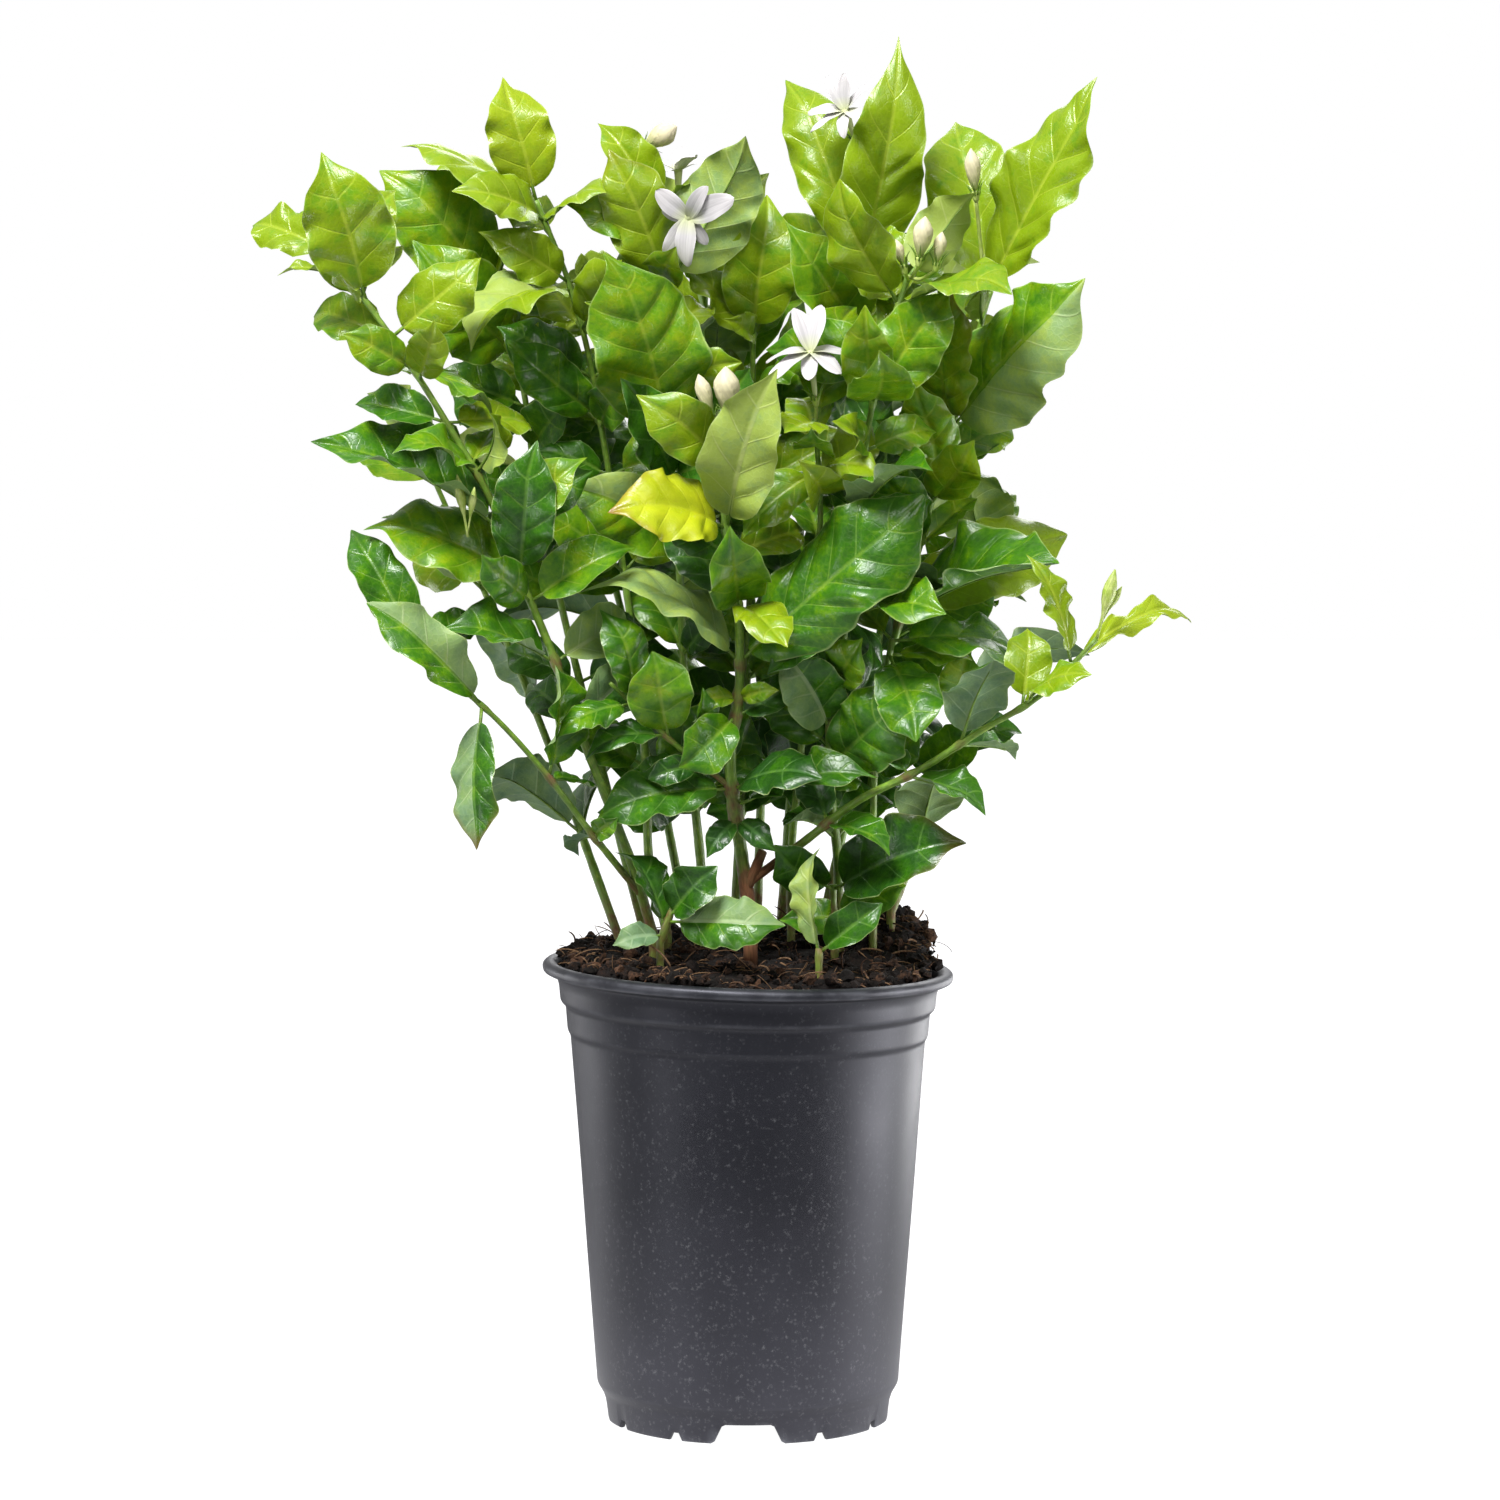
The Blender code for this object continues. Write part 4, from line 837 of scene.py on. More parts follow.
LOBE_CUP = 0.28
LOBE_DROOP = 0.12
SEAT_GAP = 0.35
PEDICEL_RADII = (1.0, 0.9)
PEDICEL_SAG = 0.12
CALYX_LENGTH = 4.0
CALYX_RADII = (0.9, 1.9)
FLOWER_TUBE_RADII = (1.2, 2.1)
FLOWER_SIDES = 5
BUD_PROFILE = ((0.0, 0.3), (0.32, 0.62), (0.62, 1.0), (0.86, 0.66))  # height and girth, as shares
BUD_SIDES = 6

# Directions that the upper side of a leaf may face
FACING = {
    "front": (0, -1, 0.25),
    "front_up": (0, -1, 0.6),
    "up_front": (0, -1, 1),
    "up": (0, -0.5, 1),
    "front_left": (-0.7, -1, 0.3),
    "front_right": (0.7, -1, 0.3),
    "up_left": (-0.7, -0.5, 1),
    "up_right": (0.7, -0.5, 1),
    "right": (1, -0.5, 0.3),
    "back": (0.1, 1, 0.3),
}

# Each shoot: its diameters at the foot and the tip, the points that its stem grows through, and its
# leaves, each as distance up the stem, tip and facing, and sometimes the width as a share of the
# blade. An arm grows out of another shoot, at a distance up that one.
SHOOTS = {
    "middle": {
        "girth": (6.0, 2.4),
        "route": [(1, -22, 213), (4, -24, 226), (-5, -27, 249), (-9, -30, 265), (-5, -35, 292),
                  (-3, -40, 319), (-4, -46, 341), (-8, -52, 368), (-11, -58, 394), (-11, -60, 411)],
        "leaves": [
            (55, (-60, -50, 266), "up_front", 0.5), (55, (34, -58, 266), "up_front", 0.62),
            (48, (57, -36, 258), "up_front", 0.4),
            (42, (-15, -40, 240), "front", 0.6), (42, (12, -36, 240), "front", 0.6),
            (86, (-27, -56, 278), "front", 0.75), (86, (19, -44, 316), "front", 0.6),
            (94, (-20, -46, 302), "front_up", 0.7), (94, (7, -50, 318), "front", 0.5),
            (109, (-50, -66, 371), "up_right"), (109, (68, -76, 386), "front_up", 0.44),
            (133, (-14, -78, 377), "front"), (133, (12, -88, 348), "up"),
            (166, (14, -72, 446), "front", 0.46), (166, (-42, -96, 392), "front_up"),
        ],
    },
    "middle_arm": {
        "grows_from": ("middle", 14),
        "girth": (4.0, 2.0),
        "route": [(21, -30, 243), (32, -34, 258), (51, -42, 265), (66, -50, 274),
                  (87, -60, 289), (112, -68, 304), (132, -72, 320), (140, -72, 331)],
        "leaves": [
            (44, (56, -60, 252), "up"), (44, (22, -15, 274), "up"),
            (86, (96, -70, 274), "up"), (86, (56, -32, 287), "front"),
            (112, (99, -88, 324), "back"), (112, (110, -40, 283), "up"),
            (143, (114, -60, 335), "front"), (143, (140, -92, 317), "up"),
            (169, (114, -82, 365), "front_right", 0.34), (169, (182, -40, 352), "up", 0.22),
        ],
    },
    "middle_stub": {
        "grows_from": ("middle", 12),
        "girth": (4.6, 4.0),
        "route": [(7, -28, 234), (6, -29, 241)],
        "leaves": [],
    },
    "middle_left_arm": {
        "grows_from": ("middle", 55),
        "girth": (2.6, 1.6),
        "route": [(-24, -36, 279), (-36, -44, 293), (-46, -48, 302), (-56, -52, 312)],
        "leaves": [
            (18, (-40, -46, 275), "up_front", 0.6), (36, (-37, -60, 324), "front", 0.8),
            (38, (-64, -58, 289), "up_front", 0.55), (58, (-55, -60, 341), "front_right", 0.6),
            (58, (-80, -62, 301), "up_front", 0.5), (26, (-17, -50, 308), "front_right", 0.7),
        ],
    },
    "left_high": {
        "girth": (4.4, 2.0),
        "route": [(-39, -18, 204), (-44, -24, 222), (-52, -32, 249), (-65, -42, 281), (-78, -50, 320),
                  (-94, -58, 360), (-108, -64, 397), (-122, -67, 419), (-134, -68, 439),
                  (-159, -70, 475), (-174, -70, 499)],
        "lower": (60, 100),
        "leaves": [
            (127, (-116, -72, 344), "up"), (127, (-48, -30, 341), "front"),
            (165, (-144, -78, 390), "up_front"), (165, (-87, -84, 408), "front"),
            (187, (-162, -82, 427), "up"), (187, (-75, -90, 399), "front"),
            (211, (-138, -95, 411), "up_front"), (211, (-101, -84, 422), "right"),
            (260, (-160, -84, 454), "front"), (260, (-100, -60, 425), "up"),
            (292, (-171, -72, 524), "front", 0.7), (304, (-187, -78, 479), "up", 0.3),
            (318, (-146, -52, 493), "front"),
        ],
    },
    "left_high_arm": {
        "grows_from": ("left_high", 20),
        "girth": (3.2, 1.8),
        "route": [(-61, -36, 245), (-81, -50, 273), (-92, -56, 288), (-107, -62, 303),
                  (-120, -66, 312), (-133, -70, 324)],
        "leaves": [
            (35, (-55, -48, 258), "front"), (35, (-72, -20, 241), "up"),
            (68, (-77, -62, 320), "right"), (68, (-61, -30, 267), "up"),
            (110, (-108, -78, 247), "front_left", 0.4), (110, (-148, -84, 347), "front_up", 0.42),
            (140, (-156, -80, 377), "front_up", 0.4), (140, (-112, -60, 346), "up"),
        ],
    },
    "left_mid": {
        "girth": (4.0, 2.0),
        "route": [(-34, 8, 203), (-41, 5, 230), (-42, 2, 260), (-45, 0, 302), (-50, -2, 343),
                  (-56, -5, 385), (-61, -8, 418), (-68, -12, 455), (-77, -15, 484), (-87, -18, 508)],
        "lower": (60, 120),
        "leaves": [
            (303, (-120, -45, 507), "up_front"), (303, (-59, -48, 514), "up"),
            (311, (-101, -25, 557), "front"), (311, (-140, -20, 534), "up"),
            (273, (-114, -62, 455), "up"), (273, (-45, 15, 484), "front_up"),
            (218, (-97, -25, 449), "front"), (218, (-33, 20, 443), "front"),
        ],
    },
    "left_back": {
        "girth": (4.0, 2.0),
        "route": [(-44, 28, 201), (-54, 26, 240), (-67, 24, 292), (-79, 22, 342), (-89, 18, 393),
                  (-95, 12, 439), (-101, 8, 460), (-109, 4, 481), (-115, 2, 493)],
        "lower": (110, 215),
        "leaves": [
            (250, (-139, -20, 490), "front"), (250, (-79, 40, 456), "up"),
            (278, (-149, -10, 522), "front"), (278, (-93, -30, 490), "front_up"),
            (302, (-125, 10, 530), "front"), (302, (-104, 20, 514), "up"),
        ],
    },
    "centre_left": {
        "girth": (4.2, 2.0),
        "route": [(-18, 12, 202), (-20, 8, 234), (-24, 2, 276), (-27, -4, 323), (-29, -14, 369),
                  (-33, -22, 414), (-31, -24, 447), (-33, -24, 473), (-36, -20, 512)],
        "lower": (60, 120),
        "leaves": [
            (215, (-54, -55, 486), "front"), (215, (-20, 10, 468), "front_left"),
            (275, (-55, -45, 526), "front"), (275, (0, -10, 532), "back"),
            (304, (-61, -10, 538), "front"), (304, (-20, 10, 518), "up"),
            (170, (-70, -60, 394), "front"), (170, (-1, -40, 398), "front_up"),
            (192, (-64, -52, 438), "front_right", 0.5), (192, (2, -6, 440), "front"),
        ],
    },
    "centre_back": {
        "girth": (4.0, 2.2),
        "route": [(-6, 35, 201), (-3, 30, 257), (0, 25, 321), (2, 20, 384), (2, 15, 418), (2, 12, 464)],
        "lower": (120, 215),
        "leaves": [
            (253, (10, -8, 507), "front"), (253, (-18, -15, 483), "front_up"),
            (262, (37, 30, 504), "front"), (262, (-8, 30, 500), "front"),
        ],
    },
    "centre_front": {
        "girth": (3.6, 2.0),
        "route": [(18, -2, 205), (18, -6, 239), (22, -14, 282), (26, -26, 324), (29, -40, 361),
                  (29, -52, 394), (27, -58, 419)],
        "lower": (60, 120),
        "leaves": [
            (201, (-1, -80, 387), "front_up"), (201, (53, -70, 399), "up"),
            (221, (14, -90, 411), "front_up"), (221, (42, -20, 467), "front"),
        ],
    },
    "right_centre": {
        "girth": (4.2, 2.0),
        "route": [(38, -5, 206), (37, -12, 240), (33, -24, 283), (37, -32, 312), (40, -40, 339),
                  (42, -45, 370), (47, -48, 396), (50, -50, 425), (55, -50, 447), (65, -46, 477)],
        "lower": (40, 80),
        "leaves": [
            (108, (21, -58, 330), "front"), (108, (44, -60, 327), "front_left"),
            (137, (74, -80, 351), "up"), (137, (8, -66, 342), "up_front"),
            (88, (21, -60, 318), "front", 0.7), (88, (48, -52, 322), "front", 0.5),
            (72, (55, -62, 301), "front", 0.75),
            (180, (70, -90, 403), "up_left"), (180, (21, -20, 398), "up"),
            (227, (45, -66, 472), "front"), (227, (83, -66, 473), "front"),
            (267, (34, -66, 512), "front_left"), (267, (100, -90, 483), "up"),
            (278, (89, -35, 510), "back"), (278, (46, -20, 502), "front"),
        ],
    },
    "top_right": {
        "girth": (4.6, 2.2),
        "route": [(48, 15, 204), (50, 12, 242), (56, 5, 301), (65, -2, 343), (75, -8, 381),
                  (84, -16, 415), (93, -22, 449), (99, -26, 471)],
        "lower": (55, 110),
        "leaves": [
            (276, (142, -55, 554), "front_left", 0.42), (276, (83, 0, 545), "front"),
            (217, (142, -60, 471), "front_up", 0.56), (217, (87, -40, 473), "front_left"),
            (195, (67, -45, 431), "front"), (195, (106, 20, 410), "up"),
            (141, (130, -10, 377), "front_up"), (141, (45, -70, 363), "front_up"),
            (132, (122, -62, 361), "up_front"), (132, (65, 40, 358), "up"),
        ],
    },
    "top_middle": {
        "girth": (4.2, 2.0),
        "route": [(14, 45, 200), (18, 42, 256), (24, 38, 320), (33, 32, 384), (41, 24, 426),
                  (47, 14, 455), (49, 4, 483), (47, 0, 499)],
        "lower": (70, 220),
        "leaves": [
            (290, (63, -40, 567), "front", 0.4), (290, (18, 20, 564), "front", 0.36),
            (260, (17, -20, 496), "front"), (260, (79, 30, 497), "front"),
        ],
    },
    "right_low": {
        "girth": (3.4, 2.0),
        "route": [(52, -8, 209), (52, -18, 261), (53, -25, 287), (56, -32, 312), (59, -36, 329)],
        "leaves": [
            (117, (70, -60, 283), "front", 0.68), (117, (91, -40, 329), "up_front"),
            (80, (76, -50, 305), "front_up"), (80, (33, -50, 305), "front"),
            (123, (115, -30, 339), "up"), (123, (38, 10, 347), "up"),
        ],
    },
    "low_right": {
        "girth": (3.4, 2.4),
        "route": [(36, -15, 204), (36, -16, 220), (35, -16, 226)],
        "leaves": [
            (20, (86, -45, 248), "front", 0.62), (20, (10, -34, 246), "front_left", 0.6),
            (8, (14, -46, 216), "front", 0.5), (8, (62, -26, 228), "front", 0.7),
        ],
    },
    "low_pale": {
        "girth": (3.0, 2.4),
        "route": [(29, -46, 196), (29, -46, 203)],
        "leaves": [(3, (24, -47, 243), "front_left", 0.36), (5, (54, -52, 222), "front_up", 0.6)],
    },
    "low_front": {
        "girth": (3.2, 2.2),
        "route": [(-36, -38, 204), (-34, -40, 212), (-31, -42, 219)],
        "leaves": [
            (6, (-36, -48, 246), "front_right", 0.8), (10, (12, -62, 214), "front", 0.55),
            (12, (-14, -54, 240), "front_left", 0.7), (4, (-54, -50, 206), "front_up", 0.6),
        ],
    },
}

# Shoots at the back: foot, bend and tip
BACK_SHOOTS = {
    "back_left": ((-26, 46), (-50, 50, 320), (-88, 46, 462)),
    "back_far_left": ((-54, 12), (-92, 30, 300), (-136, 34, 400)),
    "back_middle": ((4, 56), (4, 55, 320), (-22, 44, 490)),
    "back_right": ((34, 40), (54, 52, 310), (72, 48, 470)),
    "back_far_right": ((60, 10), (86, 30, 280), (100, 40, 364)),
}

# Flowers: the stem that carries each, the distance up it, the calyx, the mouth of the flower's tube,
# and the lobes round that mouth, each as turn, lean from the tube's direction, and length
BLOOMS = {
    "bloom_front": ("centre_front", 221, (27, -63, 428), (25, -69, 446), [
        (5, 92, 21), (55, 22, 19), (112, 24, 19), (172, 84, 18), (205, 100, 20), (262, 118, 14),
        (318, 104, 16)]),
    "bloom_left": ("centre_left", 300, (-20, -32, 503), (-24, -45, 500), [
        (28, 66, 22), (60, 58, 17), (140, 74, 17), (172, 88, 12), (238, 74, 18), (268, 66, 19),
        (305, 84, 13)]),
    "bloom_top": ("top_middle", 305, (44, -4, 534), (40, -10, 545), [
        (10, 50, 15), (60, 20, 15), (110, 24, 16), (165, 72, 16), (200, 86, 17), (255, 100, 13),
        (310, 88, 14)]),
    "bloom_back": ("centre_left", 290, (-29, 12, 508), (-29, 10, 521), [
        (15, 60, 16), (85, 40, 15), (160, 60, 16), (235, 75, 15), (300, 50, 16)]),
}

# Buds: the stem that carries each, the distance up it, the bud's base and tip, and its radius
BUDS = {
    "bud_middle_large": ("middle", 204, (-8, -69, 421), (-9, -73, 440), 5.2),
    "bud_middle_left": ("middle", 204, (-15, -61, 421), (-20, -61, 437), 3.2),
    "bud_middle_right": ("middle", 199, (-3, -66, 412), (0, -70, 427), 2.7),
    "bud_right_large": ("right_centre", 279, (69, -61, 484), (71, -64, 500), 4.0),
    "bud_right_small": ("right_centre", 279, (76, -58, 482), (78, -59, 494), 2.6),
    "bud_right_inner": ("right_centre", 279, (62, -60, 481), (59, -61, 491), 2.3),
    "bud_top_left": ("centre_left", 311, (-42, -20, 530), (-29, -24, 538), 4.6),
    "bud_top_right": ("top_right", 270, (92, -41, 511), (90, -44, 528), 3.2),
}
print("shoots:", len(SHOOTS) + len(BACK_SHOOTS), "flowers:", len(BLOOMS), "buds:", len(BUDS))

# %% [markdown]
# ## Growing the leaves
# Every leaf starts at its wanted tip and is bent, turned or shortened until it clears the ones that
# are there already, as leaves do when they grow towards the light. The search has to give just the
# leaves that the solids have, so it works on the same plain shapes in the same order.

# %% Routes


def smooth_route(points, per_span=6):
    """Points along a smooth curve through the given ones, each span bent by its four nearest."""
    points = [Vector(point) for point in points]
    ends = [points[0] * 2 - points[1]] + points + [points[-1] * 2 - points[-2]]
    route = [points[0]]
    for before, start, stop, after in zip(ends, ends[1:], ends[2:], ends[3:]):
        for step in range(1, per_span + 1):
            t = step / per_span
            bend = (2 * before - 5 * start + 4 * stop - after) * t * t
            ease = (3 * start - before - 3 * stop + after) * t ** 3
            route.append(0.5 * (2 * start + (stop - before) * t + bend + ease))
    return route


def route_length(route):
    """How long a route is, from point to point."""
    return sum((b - a).length for a, b in zip(route, route[1:]))


def point_on(route, distance):
    """Place and direction at a distance along a route."""
    for a, b in zip(route, route[1:]):
        span = (b - a).length
        if distance <= span:
            return a + (b - a) * (distance / span), (b - a).normalized()
        distance -= span
    return route[-1].copy(), (route[-1] - route[-2]).normalized()


def even_route(route, step):
    """The same route through fewer points, about a step apart."""
    total = route_length(route)
    spans = max(1, round(total / step))
    return [point_on(route, total * k / spans)[0] for k in range(spans + 1)]


def tube(route, radii, sides):
    """Closed tube through a route's points, its radius running evenly between the two radii."""
    rings = len(route) - 1
    side = Vector((1, 0, 0))
    verts, faces = [], []
    for ring, centre in enumerate(route):
        along = (route[min(ring + 1, rings)] - route[max(ring - 1, 0)]).normalized()
        side = (side - along * side.dot(along)).normalized()
        other = along.cross(side)
        radius = radii[0] + (radii[1] - radii[0]) * ring / rings
        for k in range(sides):
            turn = 2 * math.pi * k / sides
            verts.append(centre + (side * math.cos(turn) + other * math.sin(turn)) * radius)
    for ring in range(rings):
        for k in range(sides):
            a, b = ring * sides + k, ring * sides + (k + 1) % sides
            faces.append((a, b, b + sides, a + sides))
    faces.append(tuple(range(sides))[::-1])
    faces.append(tuple(range(rings * sides, (rings + 1) * sides)))
    return verts, faces


def stem_routes():
    """The route and girth of every stem, arms among them."""
    stems = {}
    for name, shoot in SHOOTS.items():
        points = list(shoot["route"])
        if "grows_from" in shoot:
            parent, distance = shoot["grows_from"]
            points.insert(0, point_on(stems[parent][0], distance)[0])
        stems[name] = (even_route(smooth_route(points), STEM_STEP), shoot["girth"])
    for name, (foot, bend, tip) in BACK_SHOOTS.items():
        route = smooth_route([(*foot, soil_height(*foot) + FOOT_RISE), bend, tip])
        stems[name] = (even_route(route, STEM_STEP), BACK_GIRTH)
    return stems


def body_of(name):
    """The shoot that a stem is one body with."""
    return SHOOTS.get(name, {}).get("grows_from", (name, 0))[0]


def stem_solid(name, route, girth):
    """A stem's tube, with a straight foot down into its hole when it rises from the soil."""
    route = list(route)
    if body_of(name) == name:
        route.insert(0, route[0] - Vector((0, 0, HOLE_DEPTH)))
    return tube(route, (girth[0] / 2, girth[1] / 2), STEM_SIDES)


STEMS = stem_routes()
print("stems:", len(STEMS))

# %% Plain leaves


def plate(rows, thickness):
    """Closed plate on rows of points, split into triangles alike above and below.

    Each row runs from the left edge to the right one, and thickness points from the lower face up.
    """
    upper = [point + thickness / 2 for row in rows for point in row]
    lower = [point - thickness / 2 for row in rows for point in row]
    count = len(upper)
    starts = [sum(len(row) for row in rows[:k]) for k in range(len(rows))]
    faces = []
    for near, far, a, b in zip(rows, rows[1:], starts, starts[1:]):
        left, right = 0, 0
        while left < len(near) - 1 or right < len(far) - 1:
            if right >= len(far) - 1 or (left < len(near) - 1 and left * len(far) <= right * len(near)):
                face = (a + left, a + left + 1, b + right)
                left += 1
            else:
                face = (a + left, b + right + 1, b + right)
                right += 1
            faces.append(face)
            faces.append(tuple(k + count for k in reversed(face)))
    rim = [starts[0] + k for k in range(len(rows[0]))]
    rim += [start + len(row) - 1 for start, row in zip(starts[1:], rows[1:])]
    rim += [starts[-1] + k for k in reversed(range(len(rows[-1]) - 1))]
    rim += [start for start, row in zip(starts[-2:0:-1], rows[-2:0:-1])]
    for k, following in zip(rim, rim[1:] + rim[:1]):
        faces.append((k, k + count, following + count, following))
    return upper + lower, faces


def new_leaf(root, tip, facing, width, draw):
    """Sizes and frame of one leaf. Its width is a share of its blade's length, or drawn if None."""
    length = (tip - root).length
    along = (tip - root).normalized()
    normal = facing - along * facing.dot(along)
    if normal.length < 0.2:
        normal = along.orthogonal()
    stalk = min(STALK_LONGEST, STALK_SHARE * length)
    blade = length - stalk
    low = root.z < LOW_BELOW
    usual_width = draw.uniform(*HALF_WIDTHS) * (LOW_WIDTH if low else 1)
    return {
        "root": root, "along": along, "normal": normal.normalized(), "length": length,
        "stalk": stalk, "blade": blade,
        "half_width": blade * (width / 2 if width else usual_width),
        "arch": draw.uniform(*ARCHES),
        "fold": math.radians(draw.uniform(*FOLDS)),
        "wave": blade * draw.uniform(*WAVE_HEIGHTS),
        "waves": draw.uniform(*WAVE_COUNTS),
        "phase": draw.uniform(0, 2 * math.pi),
        "twist": math.radians(draw.uniform(-MOST_TWIST, MOST_TWIST)),
        "curl": draw.uniform(0.0, MOST_CURL),
        "taper": draw.uniform(*TAPERS) * (LOW_TAPER if low else 1),
    }


def outline(t, taper):
    """Half width of a blade at t from stalk to tip, as a share of its widest."""
    widest = WIDEST_AT / (WIDEST_AT + taper)
    return (t / widest) ** WIDEST_AT * ((1 - t) / (1 - widest)) ** taper


def blade_point(leaf, t, across):
    """Point of a leaf's middle surface: t from stalk to tip, across from edge (-1) to edge (1)."""
    run = (leaf["stalk"] + t * leaf["blade"]) / leaf["length"]
    lift = leaf["arch"] * 4 * run * (1 - run) - leaf["curl"] * max(0.0, (t - 0.6) / 0.4) ** 2
    centre = leaf["root"] + (leaf["along"] * run + leaf["normal"] * lift) * leaf["length"]
    twist = leaf["twist"] * t * t
    side = leaf["along"].cross(leaf["normal"])
    level = side * math.cos(twist) + leaf["normal"] * math.sin(twist)
    above = leaf["normal"] * math.cos(twist) - side * math.sin(twist)
    half = leaf["half_width"] * outline(t, leaf["taper"])
    fold = leaf["fold"] * (1 - 0.5 * t)
    sway = math.sin(2 * math.pi * leaf["waves"] * t + leaf["phase"] + (WAVE_LAG if across > 0 else 0.0))
    rise = abs(across) * half * math.sin(fold) + leaf["wave"] * sway * across ** 2 * 4 * t * (1 - t)
    return centre + level * (across * half * math.cos(fold)) + above * rise


def blade_cuts(leaf):
    """Where a blade is cut across its length: more often on a longer one, nearer a blunter tip."""
    if leaf["blade"] < 31:
        return (0.4,)
    if leaf["blade"] < 72:
        return (0.2, 0.73) if leaf["taper"] < LOW_TAPER * TAPERS[1] else (0.24, 0.66)
    return (0.18, 0.48, 0.78)


def leaf_solid(leaf, swell=0.0, with_stalk=True):
    """Closed plate of one leaf. With a swell it is fatter all round, to keep its neighbours off."""
    side = leaf["along"].cross(leaf["normal"]) * (STALK_HALF_WIDTH + swell)
    neck = blade_point(leaf, 0.0, 0.0)
    rows = [[leaf["root"] - side, leaf["root"] + side]] if with_stalk else []
    rows.append([neck - side, neck + side])
    for t in blade_cuts(leaf):
        row = [blade_point(leaf, t, across) for across in (-1, 0, 1)]
        spread = (row[2] - row[0]).normalized() * swell
        rows.append([row[0] - spread, row[1], row[2] + spread])
    rows.append([blade_point(leaf, 1.0, 0.0) + leaf["along"] * swell])
    return plate(rows, leaf["normal"] * (BLADE_THICKNESS + 2 * swell))


print("blade from", HALF_WIDTHS[0] * 2, "to", HALF_WIDTHS[1] * 2, "times as wide as long")

# %% Room for each leaf


def box_of(verts):
    """Lowest and highest corner of the box round some points."""
    return [[side(point[k] for point in verts) for k in range(3)] for side in (min, max)]


class Neighbours:
    """Every piece placed so far, so that the next one can be bent clear of it."""

    def __init__(self):
        self.pieces = []

    def add(self, owner, solid):
        """Adds a solid, and notes the shoot or piece that owns it."""
        self.pieces.append((owner, *box_of(solid[0]), BVHTree.FromPolygons(*solid)))

    def touch(self, solid, spare=None):
        """Whether a solid runs into a piece of any owner but the one that is spared."""
        low, high = box_of(solid[0])
        tree = None
        for owner, its_low, its_high, its_tree in self.pieces:
            if owner == spare:
                continue
            if any(low[k] > its_high[k] or high[k] < its_low[k] for k in range(3)):
                continue
            tree = tree or BVHTree.FromPolygons(*solid)
            if tree.overlap(its_tree):
                return True
        return False


def leaf_bends():
    """Ways to bend a leaf clear of its neighbours, the least change first."""
    bends = []
    for pitch in (0, -8, 8, -16, 16, -25, 25, -36, 36):
        for yaw in (0, -7, 7, -15, 15, -25, 25):
            for roll in (0, -14, 14, -30, 30, -50, 50):
                for size in (1.0, 0.93, 0.85, 0.76, 0.66):
                    change = 0.5 * abs(pitch) + abs(yaw) + 0.3 * abs(roll) + 90 * (1 - size)
                    if change < MOST_CHANGE:
                        bends.append((change, pitch, yaw, roll, size))
    return [bend[1:] for bend in sorted(bends)]


def grow_leaf(name, owner, root, tip, facing, width, neighbours, bends):
    """A leaf as near as it can be to the wanted tip and facing, or None where there is no room."""
    reach = tip - root
    level = facing - reach * (facing.dot(reach) / reach.length_squared)
    if level.length < 0.2:
        level = reach.orthogonal()
    side = reach.cross(level)
    for pitch, yaw, roll, size in bends:
        turn = Matrix.Rotation(math.radians(pitch), 3, side) @ Matrix.Rotation(math.radians(yaw), 3, level)
        bent = turn @ reach * size
        faced = Matrix.Rotation(math.radians(roll), 3, bent) @ (turn @ level)
        leaf = new_leaf(root, root + bent, faced, width, random.Random(f"{LEAF_SEED} {name}"))
        if neighbours.touch(leaf_solid(leaf, CLEARANCE, with_stalk=False)):
            continue
        if neighbours.touch(leaf_solid(leaf, STALK_CLEARANCE), spare=owner):
            continue
        neighbours.add(owner, leaf_solid(leaf))
        return leaf
    return None


def grown_leaves(name, route, first, last, spacing, reaches, facing):
    """Opposite pairs up a stem by rule, each pair a quarter turn on from the one below it."""
    draw = random.Random(f"{LEAF_SEED} {name}")
    pairs = round((last - first) / spacing) + 1
    turn = draw.uniform(0, 360)
    rows = []
    for pair in range(pairs):
        distance = first + (last - first) * pair / max(1, pairs - 1)
        root, _ = point_on(route, distance)
        for half_turn in (0, 180):
            heading = math.radians(turn + half_turn + draw.uniform(-20, 20))
            rise = math.radians(draw.uniform(10, 45))
            out = Vector((math.cos(heading), math.sin(heading), 0))
            reach = draw.uniform(*reaches)
            tip = root + (out * math.cos(rise) + Vector((0, 0, math.sin(rise)))) * reach
            rows.append((distance, tip, out * 0.4 + Vector(facing)))
        turn += 90
    return rows


def wanted_leaves(stems):
    """Name, shoot, root, tip, facing and width of every leaf: chosen ones, the largest first, then
    the lower leaves of each shoot, and those of the back shoots."""
    chosen, grown = [], []
    for name, shoot in SHOOTS.items():
        route = stems[name][0]
        for index, (distance, tip, facing, *width) in enumerate(shoot["leaves"]):
            root, _ = point_on(route, distance)
            chosen.append((f"{name} {index}", body_of(name), root, Vector(tip),
                           Vector(FACING[facing]), width[0] if width else None))
        if "lower" in shoot:
            rows = grown_leaves(name, route, *shoot["lower"], *LOWER_LEAVES)
            for index, (distance, tip, facing) in enumerate(rows):
                root, _ = point_on(route, distance)
                grown.append((f"{name} low {index}", body_of(name), root, tip, facing, None))
    chosen.sort(key=lambda row: -(row[3] - row[2]).length)
    for name in BACK_SHOOTS:
        route = stems[name][0]
        total = route_length(route)
        rows = grown_leaves(name, route, BACK_BARE * total, 0.98 * total, *BACK_LEAVES)
        for index, (distance, tip, facing) in enumerate(rows):
            grown.append((f"{name} {index}", name, point_on(route, distance)[0], tip, facing, None))
    return chosen + grown


print("ways to bend a leaf:", len(leaf_bends()))

